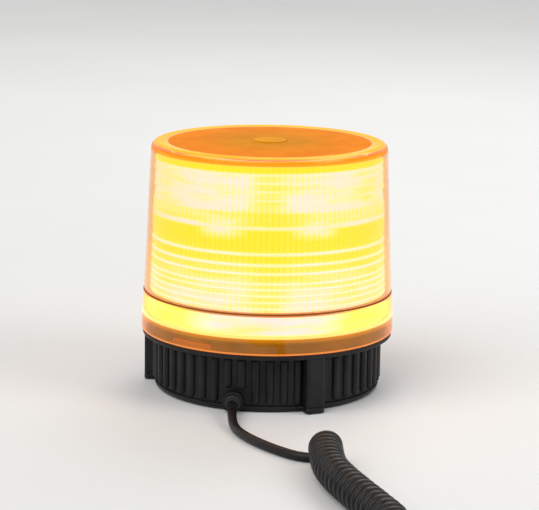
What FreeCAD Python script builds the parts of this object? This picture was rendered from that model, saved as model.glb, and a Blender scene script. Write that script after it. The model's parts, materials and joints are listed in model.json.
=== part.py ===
import FreeCAD, Part
import math
import os
from FreeCAD import Vector

# Magnetic strobe beacon with a curly cord and an accessory plug. All sizes are in millimetres.
# The origin is the centre of the foot on the surface that it stands on, and +Z is up.
# Azimuths are in degrees from -Y, the side that the cord leaves, towards +X.

# Clearances
seat_clearance = 0.1         # flat pieces that lie on or in each other
turn_clearance = 0.4         # round pieces that turn past each other
slide_clearance = 0.3        # pieces that slide along each other
pin_clearance = 0.05         # hinge pins and screws in their holes

# Outer lens
lens_foot_radius = 63.0      # widest part of the beacon
lens_height = 93.4           # from the lens's lower edge to the edge of its top field
lens_foot_round = 0.8
lens_foot_straight = 1.7
skirt_draft = 0.7            # the skirt's top is this much narrower than its foot
skirt_wall = 2.4
lens_step = 0.4              # small step from the skirt to the wall above it
lens_step_fall = 0.6
lens_taper = 3.2             # the wall's top is this much narrower than its foot
lens_wall = 2.3
shoulder_round_width = 3.5
shoulder_round_height = 3.4
rim_rise = 0.5               # rim above the edge of the top field
rim_width = 4.6
crown_rise = 0.55
top_boss_radius = 8.2
top_boss_rise = 0.45
lens_top_thickness = 2.3
ledge_width = 0.9
locating_rib_width = 1.8

# Inner lens
drum_headroom = 1.3          # under the outer lens's top
drum_top_gap = 0.5           # to the outer lens's wall
drum_foot_gap = 1.1
drum_wall = 2.9
drum_skirt_height = 11.1
drum_skirt_wall = 1.6
drum_flange_thickness = 1.2
flute_count = 128
flute_depth = 0.7
prism_depth = 0.9
belt_bulge = 1.1
prism_shares_below = (0.027, 0.071, 0.116, 0.16, 0.2, 0.269, 0.329, 0.403)   # of the drum's height
prism_shares_above = (0.769, 0.83, 0.887, 0.941)

# Bayonet between lens and base
bayonet_azimuths = (83.0, 203.0, 323.0)
bayonet_half_width = 10.0    # degrees
bayonet_lug_reach = 2.0
bayonet_lug_height = 1.8
bayonet_stop_width = 2.7     # degrees
tab_height = 2.1
tab_lift = 0.7               # lens tabs above the lens's lower edge
gasket_thickness = 1.0

# Base housing
lens_overhang = 0.6          # lens beyond the base's shoulder
shoulder_thickness = 1.4
collar_wall = 2.4
collar_height = 9.7
deck_rise = 3.2              # deck's seat above the shoulder
wall_thickness = 2.6
rib_count = 51
rib_radius = 2.1
rib_rise = 1.8               # crest of a rib above its root
rib_end_gap = 0.8            # plain band above and below the ribs
rib_end_slope = 1.4
tower_inset = 0.5            # towers inside the shoulder's edge
tower_width = 9.6
tower_corner = 1.6
tower_azimuths = (23.0, 143.0, 263.0)
tower_screw_inset = 4.5
post_radius = 3.2
post_inset = 2.4
post_depth = 12.0

# Bottom plate
plate_gap = 0.6              # the plate's lower face above the floor
plate_thickness = 2.6
plate_rise = 0.8             # plate beyond the root of the ribs
plate_edge_radius = 1.8
pocket_wall = 2.4

# Magnetic foot
foot_margin = 17.6           # from the plate's edge to the magnet's cup
pad_thickness = 0.9
pad_hole_radius = 8.6
cup_height = 7.1
cup_wall = 1.9
cup_core_radius = 10.0
magnet_recess = 0.3          # the magnet's face above the rim of its cup
bolt_radius = 3.0
bolt_head_radius = 6.0
bolt_head_height = 3.2
washer_thickness = 0.8
washer_rim = 1.0             # washer beyond the nut's flats
nut_height = 3.2
nut_width = 10.0

# Deck and flash tube
deck_thickness = 1.6
deck_hub_radius = 14.2
deck_hub_wall = 2.2
deck_hub_rise = 3.4
socket_rise = 8.4            # socket above the deck
tube_half_span = 10.5
tube_radius = 3.2
tube_glass = 1.0
tube_headroom = 10.0         # between the tube's arch and the drum's top
tube_socket_depth = 8.0
electrode_radius = 1.0
electrode_rise = 10.0        # electrodes above the socket
electrode_cap_height = 6.0
trigger_band_height = 2.0
trigger_band_wall = 0.7
trigger_band_rise = 28.0     # band above the socket
trigger_rod_radius = 0.5

# Flash circuit
board_gap = 1.9              # board above the magnet's bolt
board_margin = 8.0           # between the board and the base's wall
board_thickness = 1.6
board_screw_share = 0.71     # of the board's radius
board_screw_azimuths = (100.0, 220.0, 340.0)
board_boss_radius = 3.2
component_room = 14.0        # between the board and the deck
core_width = 22.0
core_depth = 8.0
core_leg = 4.0
winding_overhang = 3.6
winding_gap = 0.3
capacitor_length = 30.0
capacitor_groove = 0.5
capacitor_groove_at = 2.9
coil_radius = 4.6
coil_height = 9.0
coil_knob = 1.0
transistor_width = 10.0
transistor_depth = 4.4
transistor_lift = 1.0
transistor_leg = 0.6
transistor_leg_pitch = 2.5
sink_width = 16.0
sink_thickness = 1.6
sink_fin = 5.3
sink_gap = 1.5               # between the heat sink and the deck
film_size = (13.0, 5.5, 9.5)
resistor_radius = 1.3
resistor_length = 7.0
resistor_pitch = 5.0
resistor_count = 4
resistor_lead = 0.6
core_share = (0.0, 0.667)    # places of the parts, as shares of the board's radius
capacitor_share = (-0.622, 0.044)
coil_share = (0.533, -0.178)
sink_share = (0.0, -0.756)
film_share = (0.444, -0.533)
resistor_share = (0.578, 0.444)

# Screws
screw_radius = 1.5
screw_head_radius = 2.9
screw_head_height = 1.6
small_screw_radius = 1.2
small_screw_head_radius = 2.1
small_screw_bite = 2.0       # blind holes beyond the screws' tips

# Cord, with its points measured from where it leaves the grommet
cord_radius = 2.2
cord_exit_x = -16.0
exit_boss_radius = 5.0
exit_boss_rise = 2.0         # boss's face beyond the root of the ribs
exit_boss_length = 9.9
grommet_radius = 3.3
grommet_flange_radius = 4.0
grommet_flange = 1.5
grommet_nose_radius = 2.9
grommet_nose = 3.5
inner_cord_length = 5.5      # cord behind the boss
clamp_width = 3.0
clamp_wall = 1.2
clamp_foot_length = 5.0
clamp_foot_thickness = 1.4
clamp_screw_grip = 1.6
wire_radius = 0.75
wire_gap = 2.2
wire_bend = 1.7
curl_radius = 7.8
lead_run_out = 11.4
lead_points = ((0.8, -22.8), (4.6, -35.4), (11.8, -48.4), (21.4, -60.8), (31.6, -71.0), (42.4, -75.8))
curl_points = ((42.7, -71.6), (42.8, -88.4), (44.3, -106.4), (50.8, -128.4), (60.2, -154.4),
               (69.4, -180.4), (60.0, -205.4), (33.0, -219.4), (3.0, -222.6), (-28.5, -219.8))
tail_points = ((-46.4, -218.2), (-63.4, -228.8), (-70.5, -247.5), (-65.0, -266.7), (-49.0, -278.8))
tail_rises = (0.0, 0.0, 0.1, 0.5, 1.0)   # shares of the way up to the plug's axis
tail_run_in = 18.0

# Plug, along +X from the cord's end
boot_length = 26.0
boot_tip_radius = 3.6
boot_root_radius = 5.6
boot_ring_count = 5
boot_ring_rise = 0.7
boot_flange_radius = 7.2
boot_flange = 2.0
boot_neck = 3.0
plug_length = 66.0           # both shells
plug_back_radius = 8.2
handle_radius = 13.0
handle_start = 16.0
handle_slope = 6.0           # from the handle down to the insert
insert_radius = 10.3
insert_length = 28.0
shell_wall = 2.1
cap_skirt = 6.0
cap_face = 8.0
cap_wall = 1.5
cap_nose_radius = 6.4
tip_radius = 3.6
tip_reach = 6.0              # tip beyond the cap
tip_flange = 2.0
tip_travel = 3.5
fuse_radius = 3.2
fuse_length = 22.0
fuse_cap_length = 5.0
sleeve_wall = 1.8
sleeve_flange = 2.0
spring_wire = 0.4
spring_turns = 5
contact_length = 13.0
contact_width = 5.0
contact_thickness = 0.8
contact_rise = 4.2
contact_foot = 2.6
contact_front_gap = 1.6
switch_length = 13.0
switch_width = 6.4
switch_wall = 1.3
switch_gap = 0.8             # between the switch's case and the fuse's sleeve
switch_flange = 1.0
rocker_angle = 9.0           # half the rocker's swing
rocker_rise = 1.2
rocker_pin_radius = 0.8
plug_screw_at = 12.5
plug_screw_offset = 5.0
plug_post_radius = 2.4

# Heights, from the floor up
cup_top = pad_thickness + cup_height
pocket_top = cup_top + pocket_wall
plate_top = plate_gap + plate_thickness
nut_foot = pocket_top + washer_thickness
bolt_end = nut_foot + nut_height + seat_clearance
board_height = bolt_end + board_gap
board_top = board_height + board_thickness
deck_seat = board_top + component_room
deck_top = deck_seat + deck_thickness
shoulder_top = deck_seat - deck_rise
shoulder_under = shoulder_top - shoulder_thickness
collar_top = shoulder_top + collar_height
gasket_top = shoulder_top + gasket_thickness
lens_foot = gasket_top + seat_clearance
tab_bottom = lens_foot + tab_lift
tab_top = tab_bottom + tab_height
lug_bottom = tab_top + slide_clearance
lens_step_height = collar_top + drum_skirt_height
drum_foot = lens_step_height + seat_clearance
drum_flange_under = drum_foot - drum_flange_thickness
lens_field_height = lens_foot + lens_height
lens_top_under = lens_field_height - lens_top_thickness
lens_rim_height = lens_field_height + rim_rise
lens_shoulder_height = lens_rim_height - shoulder_round_height
drum_top = lens_top_under - drum_headroom
socket_top = deck_top + socket_rise
tube_foot = socket_top - tube_socket_depth
electrode_top = socket_top + electrode_rise
trigger_band_at = socket_top + trigger_band_rise
tube_arch_height = drum_top - tube_headroom - tube_radius - tube_half_span

# Radii, from the lens inwards
skirt_bore = lens_foot_radius - skirt_wall
skirt_top_radius = lens_foot_radius - skirt_draft
lens_step_radius = skirt_top_radius - lens_step
lens_top_radius = lens_step_radius - lens_taper
lens_rim_radius = lens_top_radius - shoulder_round_width
lens_field_radius = lens_rim_radius - rim_width
ledge_bore = skirt_top_radius - skirt_wall + ledge_width / 2
drum_top_radius = lens_top_radius - lens_wall - drum_top_gap
drum_foot_radius = lens_step_radius - lens_wall - drum_foot_gap
shoulder_radius = lens_foot_radius - lens_overhang
collar_radius = skirt_bore - turn_clearance - bayonet_lug_reach
collar_bore = collar_radius - collar_wall
wall_radius = collar_radius - wall_thickness
wall_bore = wall_radius - wall_thickness
tower_reach = shoulder_radius - tower_inset
tower_screw_circle = tower_reach - tower_screw_inset
post_circle = wall_bore - post_inset
plate_radius = wall_radius + plate_rise
cup_radius = plate_radius - foot_margin
pocket_radius = cup_radius + seat_clearance
board_radius = wall_bore - board_margin
board_screw_circle = board_radius * board_screw_share

# Flash circuit's parts, sized to the room under the deck
core_height = component_room - core_leg / 4
capacitor_radius = (component_room - sink_gap) / 2
transistor_height = component_room - sink_gap - 2 * transistor_lift
sink_height = component_room - sink_gap

# Cord and plug
exit_boss_face = wall_radius + exit_boss_rise
exit_boss_back = exit_boss_face - exit_boss_length
grommet_end = exit_boss_face + grommet_flange + grommet_nose
inner_cord_end = exit_boss_back - inner_cord_length
cord_exit_z = plate_top + cord_radius
plug_axis_y = tail_points[-1][1] - grommet_end
plug_axis_z = handle_radius
tail_end_x = cord_exit_x + tail_points[-1][0] + tail_run_in
insert_start = plug_length - insert_length
handle_end = insert_start - handle_slope
cavity_radius = insert_radius - shell_wall
handle_bore = handle_radius - shell_wall
sleeve_radius = fuse_radius + slide_clearance + sleeve_wall
tip_back = plug_length - cap_skirt + tip_travel + slide_clearance
fuse_back = tip_back - fuse_length
spring_room = 2 * tip_travel + 2 * spring_wire * spring_turns
sleeve_back = insert_start + sleeve_flange
contact_front = plug_length - cap_skirt - contact_front_gap
contact_back = contact_front - contact_length - 2 * contact_foot
boot_end_x = tail_end_x + boot_length
switch_centre = (handle_start + handle_end) / 2
switch_top = handle_radius + switch_flange / 2
switch_depth = switch_top - switch_flange - sleeve_radius - switch_gap
rocker_pivot = switch_top - switch_flange - rocker_pin_radius

ORIGIN = Vector(0, 0, 0)
UP = Vector(0, 0, 1)


def place(azimuth, radius, height):
    """Point at an azimuth, a distance from the axis and a height."""
    turn = math.radians(azimuth)
    return Vector(radius * math.sin(turn), -radius * math.cos(turn), height)


def turned(shape, azimuth):
    """Copy of a shape drawn on the -Y side, turned to an azimuth."""
    copy = shape.copy()
    copy.rotate(ORIGIN, UP, azimuth)
    return copy


def outline(start, *steps):
    """Face in the XZ plane from (radius, height) points; a step of two points is an arc through the first."""
    def spot(point):
        return Vector(point[0], 0, point[1])
    edges = []
    here = start
    for step in steps + (start,):
        if isinstance(step[0], tuple):
            edges.append(Part.Arc(spot(here), spot(step[0]), spot(step[1])).toShape())
            here = step[1]
        else:
            edges.append(Part.makeLine(spot(here), spot(step)))
            here = step
    return Part.Face(Part.Wire(edges))


def spun(start, *steps):
    """Solid of revolution about Z from a profile of (radius, height) points."""
    return outline(start, *steps).revolve(ORIGIN, UP, 360)


def ring(inner, outer, low, high):
    """Plain ring or, with no inner radius, disc."""
    return spun((inner, low), (outer, low), (outer, high), (inner, high))


def sector(inner, outer, low, high, first, last):
    """Piece of a ring between two azimuths."""
    start = turned(outline((inner, low), (outer, low), (outer, high), (inner, high)), first - 90)
    return start.revolve(ORIGIN, UP, last - first)


def rod(radius, foot, top):
    """Cylinder between two points."""
    return Part.makeCylinder(radius, foot.distanceToPoint(top), foot, top - foot)


def block(size, centre, low):
    """Box of a size, centred over (x, y) and standing at a height."""
    corner = Vector(centre[0] - size[0] / 2, centre[1] - size[1] / 2, low)
    return Part.makeBox(size[0], size[1], size[2], corner)


def tower(low, high, inner):
    """Upright block on the -Y side with rounded outer corners, from the wall to the towers' reach."""
    half = tower_width / 2
    cut = tower_corner * (1 - math.sqrt(0.5))
    points = (Vector(-half, -inner, low), Vector(half, -inner, low),
              Vector(half, -tower_reach + tower_corner, low), Vector(half - cut, -tower_reach + cut, low),
              Vector(half - tower_corner, -tower_reach, low), Vector(tower_corner - half, -tower_reach, low),
              Vector(cut - half, -tower_reach + cut, low), Vector(-half, -tower_reach + tower_corner, low))
    edges = [Part.makeLine(points[0], points[1]), Part.makeLine(points[1], points[2]),
             Part.Arc(points[2], points[3], points[4]).toShape(), Part.makeLine(points[4], points[5]),
             Part.Arc(points[5], points[6], points[7]).toShape(), Part.makeLine(points[7], points[0])]
    return Part.Face(Part.Wire(edges)).extrude(Vector(0, 0, high - low))


def screw(foot, tip, radius, head_radius, head_height):
    """Pan-head screw whose head sits at foot, outside, with its shank ending at tip."""
    along = (tip - foot).normalize()
    head = rod(head_radius, foot - along * head_height, foot)
    return head.fuse(rod(radius, foot, tip)).removeSplitter()


def exit_axis(distance):
    """Point on the cord's straight way out of the base, at a distance from the axis plane."""
    return Vector(cord_exit_x, -distance, cord_exit_z)


# Magnetic foot
def rubber_pad():
    return ring(pad_hole_radius, cup_radius, 0, pad_thickness)


def magnet_cup():
    roof = cup_top - cup_wall
    cup = ring(bolt_radius + slide_clearance, cup_radius, pad_thickness, cup_top)
    groove = ring(cup_core_radius, cup_radius - cup_wall, pad_thickness, roof)
    sink = Part.makeCone(bolt_head_radius + seat_clearance, bolt_radius + slide_clearance, bolt_head_height,
                         Vector(0, 0, pad_thickness + seat_clearance))
    mouth = Part.makeCylinder(bolt_head_radius + seat_clearance, seat_clearance, Vector(0, 0, pad_thickness))
    return cup.cut(groove).cut(sink.fuse(mouth))


def magnet():
    return ring(cup_core_radius + slide_clearance, cup_radius - cup_wall - slide_clearance,
                pad_thickness + magnet_recess, cup_top - cup_wall)


def magnet_bolt():
    head_face = pad_thickness + seat_clearance
    return spun((0, head_face), (bolt_head_radius, head_face), (bolt_radius, head_face + bolt_head_height),
                (bolt_radius, bolt_end), (0, bolt_end))


def magnet_washer():
    return ring(bolt_radius + pin_clearance, nut_width / 2 + washer_rim, pocket_top, nut_foot)


def magnet_nut():
    corners = [place(60 * k, nut_width / math.sqrt(3), nut_foot) for k in range(7)]
    hexagon = Part.Face(Part.makePolygon(corners)).extrude(UP * nut_height)
    return hexagon.cut(Part.makeCylinder(bolt_radius + pin_clearance, nut_height, UP * nut_foot))


# Base
def exit_boss(low, high):
    """Round boss about the cord's exit, with its bore, between two heights."""
    boss = rod(exit_boss_radius, exit_axis(exit_boss_back), exit_axis(exit_boss_face))
    slab = Part.makeBox(4 * exit_boss_radius, exit_boss_face, high - low,
                        Vector(cord_exit_x - 2 * exit_boss_radius, -exit_boss_face, low))
    return boss.common(slab)


def exit_bore():
    """Room for the grommet: its neck through the boss and its inner flange behind it."""
    neck = rod(grommet_radius + seat_clearance, exit_axis(exit_boss_back), exit_axis(exit_boss_face))
    flange_back = exit_boss_back - grommet_flange - seat_clearance
    flange = rod(grommet_flange_radius + seat_clearance, exit_axis(flange_back), exit_axis(exit_boss_back))
    return neck.fuse(flange)


def bottom_plate():
    plate = spun((pocket_radius, plate_gap), (plate_radius - plate_edge_radius, plate_gap),
                 ((plate_radius - plate_edge_radius * (1 - math.sqrt(0.5)),
                   plate_gap + plate_edge_radius * (1 - math.sqrt(0.5))),
                  (plate_radius, plate_gap + plate_edge_radius)),
                 (plate_radius, plate_top), (pocket_radius + pocket_wall, plate_top),
                 (pocket_radius + pocket_wall, pocket_top), (bolt_radius + slide_clearance, pocket_top),
                 (bolt_radius + slide_clearance, cup_top), (pocket_radius, cup_top))
    ears = [turned(tower(plate_gap, plate_top, pocket_radius + pocket_wall), a) for a in tower_azimuths]
    boss_foot = cup_top + pocket_wall / 2
    bosses = [rod(board_boss_radius, place(a, board_screw_circle, boss_foot),
                  place(a, board_screw_circle, board_height)) for a in board_screw_azimuths]
    plate = plate.fuse(ears + bosses + [exit_boss(plate_gap, plate_top)])
    holes = [rod(small_screw_radius + pin_clearance, place(a, board_screw_circle, boss_foot),
                 place(a, board_screw_circle, board_height)) for a in board_screw_azimuths]
    for a in tower_azimuths:
        foot = place(a, tower_screw_circle, plate_gap)
        holes.append(rod(screw_radius + slide_clearance, foot, foot + UP * plate_thickness))
        holes.append(rod(screw_head_radius + slide_clearance, foot, foot + UP * screw_head_height))
    for side in (-1, 1):
        foot = clamp_screw_foot(side)
        holes.append(rod(small_screw_radius + pin_clearance, foot - UP * clamp_screw_grip, foot))
    return plate.cut(holes + [exit_bore()]).removeSplitter()


def plate_screws():
    screws = []
    for a in tower_azimuths:
        seat = place(a, tower_screw_circle, plate_gap + screw_head_height)
        screws.append(screw(seat, seat + UP * post_depth, screw_radius, screw_head_radius, screw_head_height))
    return Part.makeCompound(screws)


def rib(low):
    """Upright rib with sloped ends on the -Y side, from a height up to the shoulder."""
    high = shoulder_under - rib_end_gap
    tip = rib_radius - rib_end_slope
    stick = spun((0, low), (tip, low), (rib_radius, low + rib_end_slope), (rib_radius, high - rib_end_slope),
                 (tip, high), (0, high))
    stick.translate(Vector(0, rib_radius - rib_rise - wall_radius, 0))
    return stick


def apart(first, second):
    """Angle between two azimuths."""
    return abs((first - second + 180) % 360 - 180)


def rib_places():
    """Azimuths and feet of evenly spaced ribs: none at the towers, and short ones above the cord's boss."""
    pitch = 360 / rib_count
    tower_half = math.degrees(math.asin(tower_width / 2 / wall_radius))
    boss_half = math.degrees(math.asin(exit_boss_radius / wall_radius))
    boss_at = math.degrees(math.asin(cord_exit_x / wall_radius))
    places = []
    for k in range(rib_count):
        a = tower_azimuths[0] + k * pitch
        base = plate_top
        if apart(a, boss_at) < boss_half:
            base = cord_exit_z + exit_boss_radius
        if all(apart(a, at) > tower_half for at in tower_azimuths):
            places.append((a, base + rib_end_gap))
    return places


def base_housing():
    shell = spun((wall_bore, plate_top), (wall_radius, plate_top), (wall_radius, shoulder_under),
                 (shoulder_radius, shoulder_under), (shoulder_radius, shoulder_top),
                 (collar_radius, shoulder_top), (collar_radius, collar_top), (collar_bore, collar_top),
                 (collar_bore, deck_seat), (wall_bore, deck_seat))
    added = [turned(rib(low), a) for a, low in rib_places()]
    added += [turned(tower(plate_top, shoulder_under, wall_bore), a) for a in tower_azimuths]
    added += [rod(post_radius, place(a, post_circle, deck_seat - post_depth),
                  place(a, post_circle, deck_seat)) for a in bayonet_azimuths]
    added.append(exit_boss(plate_top, cord_exit_z + exit_boss_radius))
    lug_top = lug_bottom + bayonet_lug_height
    reach = collar_radius + bayonet_lug_reach
    root = collar_radius - collar_wall / 2
    stop_gap = math.degrees(slide_clearance / reach)
    for a in bayonet_azimuths:
        stop_face = a - bayonet_half_width - stop_gap
        stop_back = stop_face - bayonet_stop_width
        added.append(sector(root, reach, lug_bottom, lug_top, stop_back, a + bayonet_half_width))
        added.append(sector(root, reach, gasket_top + seat_clearance, lug_bottom, stop_back, stop_face))
    shell = shell.fuse(added)
    holes = [exit_bore()]
    for a in tower_azimuths:
        foot = place(a, tower_screw_circle, plate_top)
        holes.append(rod(screw_radius + pin_clearance, foot, foot + UP * post_depth))
    for a in bayonet_azimuths:
        top = place(a, post_circle, deck_seat)
        holes.append(rod(small_screw_radius + pin_clearance, top - UP * (post_depth - small_screw_bite), top))
    return shell.cut(holes).removeSplitter()


def lens_gasket():
    return ring(collar_radius + slide_clearance, shoulder_radius - slide_clearance, shoulder_top, gasket_top)


# Lenses
def outer_lens():
    lip = lens_foot_round * (1 - math.sqrt(0.5))
    field_edge = top_boss_radius + top_boss_rise
    crown = lens_field_height + crown_rise
    bore_top = lens_top_radius - lens_wall
    rib_in = drum_top_radius - drum_wall + flute_depth
    rib_out = rib_in + locating_rib_width
    rib_under = drum_top + slide_clearance
    shell = spun(
        (skirt_bore, lens_foot), (lens_foot_radius - lens_foot_round, lens_foot),
        ((lens_foot_radius - lip, lens_foot + lip), (lens_foot_radius, lens_foot + lens_foot_round)),
        (lens_foot_radius, lens_foot + lens_foot_straight),
        (skirt_top_radius, lens_step_height - lens_step_fall), (lens_step_radius, lens_step_height),
        (lens_top_radius, lens_shoulder_height),
        ((lens_top_radius - (lens_top_radius - lens_rim_radius) * (1 - math.sqrt(0.5)),
          lens_shoulder_height + (lens_rim_height - lens_shoulder_height) * math.sqrt(0.5)),
         (lens_rim_radius, lens_rim_height)),
        (lens_field_radius, lens_field_height),
        ((lens_field_radius * 0.6, lens_field_height + crown_rise * 0.64), (field_edge, crown)),
        (top_boss_radius, crown + top_boss_rise), (0, crown + top_boss_rise),
        (0, lens_top_under + crown_rise), (rib_in, lens_top_under), (rib_in, rib_under),
        (rib_out, rib_under), (rib_out, lens_top_under), (bore_top, lens_top_under),
        (lens_step_radius - lens_wall, drum_foot),
        (ledge_bore, drum_foot), (skirt_bore, collar_top))
    tabs = [sector(collar_radius + turn_clearance, skirt_bore + skirt_wall / 2, tab_bottom, tab_top,
                   a - bayonet_half_width, a + bayonet_half_width) for a in bayonet_azimuths]
    return shell.fuse(tabs).removeSplitter()


def drum_radius(height):
    """Outer radius of the drum's prism crests at a height."""
    share = (drum_top - height) / (drum_top - drum_foot)
    return drum_top_radius + (drum_foot_radius - drum_top_radius) * share


def drum_height(share):
    """Height at a share of the drum's height."""
    return drum_foot + (drum_top - drum_foot) * share


def prism_profile():
    """Steps from the drum's foot to its top: prisms below the belt, the convex belt, prisms above it."""
    below = [drum_height(share) for share in prism_shares_below]
    above = [drum_height(share) for share in prism_shares_above]
    steps = [(drum_radius(drum_foot) - prism_depth, drum_foot)]
    for edge in below:
        steps.append((drum_radius(edge), edge))
        steps.append((drum_radius(edge) - prism_depth, edge))
    low = below[-1]
    high = above[0]
    middle = (low + high) / 2
    steps[-1] = (drum_radius(low) - belt_bulge, low)
    steps.append(((drum_radius(middle), middle), (drum_radius(high) - belt_bulge, high)))
    steps.append((drum_radius(high), high))
    for edge in above[1:]:
        steps.append((drum_radius(edge) - prism_depth, edge))
        steps.append((drum_radius(edge), edge))
    steps.append((drum_radius(drum_top) - prism_depth, drum_top))
    return steps


def flute_wire(radius, height):
    """Closed zigzag of upright flutes at a height."""
    points = []
    for k in range(2 * flute_count + 1):
        reach = radius if k % 2 else radius + flute_depth
        points.append(place(180 * k / flute_count, reach, height))
    return Part.makePolygon(points)


def inner_lens():
    flange_radius = ledge_bore - slide_clearance
    skirt_foot = collar_top + turn_clearance
    bore_top = drum_top_radius - drum_wall - flute_depth
    bore_foot = drum_foot_radius - drum_wall - flute_depth
    inside = bore_top - 2
    drum = spun((inside, drum_flange_under), (flange_radius - drum_skirt_wall, drum_flange_under),
                (flange_radius - drum_skirt_wall, skirt_foot), (flange_radius, skirt_foot),
                (flange_radius, drum_foot), *prism_profile(), (inside, drum_top))
    flutes = [flute_wire(bore_foot, drum_flange_under), flute_wire(bore_top, drum_top)]
    bore = Part.makeLoft(flutes, True, True)
    return drum.cut(bore)


# Deck and flash tube
def reflector_deck():
    hub = deck_hub_radius + deck_hub_wall
    deck = spun((deck_hub_radius, deck_seat), (collar_bore - slide_clearance, deck_seat),
                (collar_bore - slide_clearance, deck_top), (hub, deck_top), (hub, deck_top + deck_hub_rise),
                (deck_hub_radius, deck_top + deck_hub_rise))
    holes = [rod(small_screw_radius + slide_clearance, place(a, post_circle, deck_seat),
                 place(a, post_circle, deck_top)) for a in bayonet_azimuths]
    return deck.cut(holes)


def deck_screws():
    screws = []
    for a in bayonet_azimuths:
        seat = place(a, post_circle, deck_top)
        tip = place(a, post_circle, deck_seat - post_depth + 2 * small_screw_bite)
        screws.append(screw(seat, tip, small_screw_radius, screw_head_radius, screw_head_height))
    return Part.makeCompound(screws)


def tube_socket():
    body = rod(deck_hub_radius - slide_clearance, Vector(0, 0, board_top), Vector(0, 0, socket_top))
    holes = []
    for side in (-1, 1):
        leg = Vector(side * tube_half_span, 0, 0)
        holes.append(rod(tube_radius + seat_clearance, leg + UP * tube_foot, leg + UP * socket_top))
        holes.append(rod(electrode_radius + pin_clearance, leg + UP * board_top, leg + UP * tube_foot))
    return body.cut(holes)


def tube_path(foot):
    left = Vector(-tube_half_span, 0, 0)
    right = Vector(tube_half_span, 0, 0)
    crown = Vector(0, 0, tube_arch_height + tube_half_span)
    return Part.Wire([Part.makeLine(left + UP * foot, left + UP * tube_arch_height),
                      Part.Arc(left + UP * tube_arch_height, crown, right + UP * tube_arch_height).toShape(),
                      Part.makeLine(right + UP * tube_arch_height, right + UP * foot)])


def tube_along(radius, foot):
    circle = Part.makeCircle(radius, Vector(-tube_half_span, 0, foot), UP)
    return tube_path(foot).makePipeShell([Part.Wire(circle)], True, False)


def flash_tube():
    return tube_along(tube_radius, tube_foot).cut(tube_along(tube_radius - tube_glass, tube_foot))


def tube_electrodes():
    pieces = []
    for side in (-1, 1):
        leg = Vector(side * tube_half_span, 0, 0)
        cap_foot = leg + UP * (electrode_top - electrode_cap_height)
        pin = rod(electrode_radius, leg + UP * board_top, cap_foot)
        cap = rod(tube_radius - tube_glass - slide_clearance, cap_foot, leg + UP * electrode_top)
        pieces.append(pin.fuse(cap).removeSplitter())
    return Part.makeCompound(pieces)


def trigger_wire():
    inner = tube_radius + pin_clearance
    outer = inner + trigger_band_wall
    top = trigger_band_at + trigger_band_height
    middle = trigger_band_at + trigger_band_height / 2
    rod_y = outer + trigger_rod_radius
    bands = []
    bores = []
    for side in (-1, 1):
        leg = Vector(side * tube_half_span, 0, 0)
        bands.append(rod(outer, leg + UP * trigger_band_at, leg + UP * top))
        bores.append(rod(inner, leg + UP * trigger_band_at, leg + UP * top))
    link = rod(trigger_rod_radius, Vector(-tube_half_span, rod_y - trigger_rod_radius, middle),
               Vector(tube_half_span, rod_y - trigger_rod_radius, middle))
    stem = rod(trigger_rod_radius, Vector(0, rod_y - trigger_rod_radius, socket_top),
               Vector(0, rod_y - trigger_rod_radius, middle + trigger_rod_radius))
    return bands[0].fuse([bands[1], link, stem]).cut(bores).removeSplitter()


# Flash circuit
def driver_board():
    board = rod(board_radius, Vector(0, 0, board_height), Vector(0, 0, board_top))
    holes = [rod(small_screw_radius + slide_clearance, place(a, board_screw_circle, board_height),
                 place(a, board_screw_circle, board_top)) for a in board_screw_azimuths]
    for side in (-1, 1):
        holes.append(rod(electrode_radius + pin_clearance, Vector(side * tube_half_span, 0, board_height),
                         Vector(side * tube_half_span, 0, board_top)))
    return board.cut(holes)


def board_screws():
    screws = []
    for a in board_screw_azimuths:
        seat = place(a, board_screw_circle, board_top)
        tip = place(a, board_screw_circle, pocket_top)
        screws.append(screw(seat, tip, small_screw_radius, small_screw_head_radius, screw_head_height))
    return Part.makeCompound(screws)


def on_board(share):
    """Point on the board from its share of the board's radius."""
    return share[0] * board_radius, share[1] * board_radius


def transformer_core():
    x, y = on_board(core_share)
    core = block((core_width, core_depth, core_height), (x, y), board_top)
    window = ((core_width - 3 * core_leg) / 2, core_depth, core_height - 2 * core_leg)
    windows = [block(window, (x + side * (core_leg + window[0]) / 2, y), board_top + core_leg)
               for side in (-1, 1)]
    return core.cut(windows)


def transformer_winding():
    tall = core_height - 2 * core_leg - 2 * winding_gap
    size = (core_width - 2 * core_leg - 2 * winding_gap, core_depth + 2 * winding_overhang, tall)
    hole = (core_leg + 2 * winding_gap, core_depth + 2 * winding_gap, tall)
    low = board_top + core_leg + winding_gap
    return block(size, on_board(core_share), low).cut(block(hole, on_board(core_share), low))


def storage_capacitor():
    x, y = on_board(capacitor_share)
    low = y - capacitor_length / 2
    high = low + capacitor_length
    bead = low + capacitor_groove_at
    neck = capacitor_radius - capacitor_groove
    wide = capacitor_radius
    can = spun((0, low), (neck, low), (wide, low + capacitor_groove), (wide, bead - capacitor_groove),
               (neck, bead), (wide, bead + capacitor_groove), (wide, high), (0, high))
    can.rotate(ORIGIN, Vector(1, 0, 0), -90)
    can.translate(Vector(x, 0, board_top + capacitor_radius + seat_clearance))
    return can


def trigger_coil():
    x, y = on_board(coil_share)
    top = board_top + coil_height
    coil = spun((0, board_top), (coil_radius, board_top), (coil_radius, top), (coil_radius / 2, top),
                (coil_radius / 2, top + coil_knob), (0, top + coil_knob))
    coil.translate(Vector(x, y, 0))
    return coil


def heat_sink():
    x, y = on_board(sink_share)
    back = block((sink_width, sink_thickness, sink_height), (x, y), board_top)
    fin = (sink_thickness, sink_fin, sink_height)
    reach = (sink_width - sink_thickness) / 2
    fins = [block(fin, (x + side * reach, y - sink_fin / 2), board_top) for side in (-1, 1)]
    return back.fuse(fins).removeSplitter()


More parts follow.
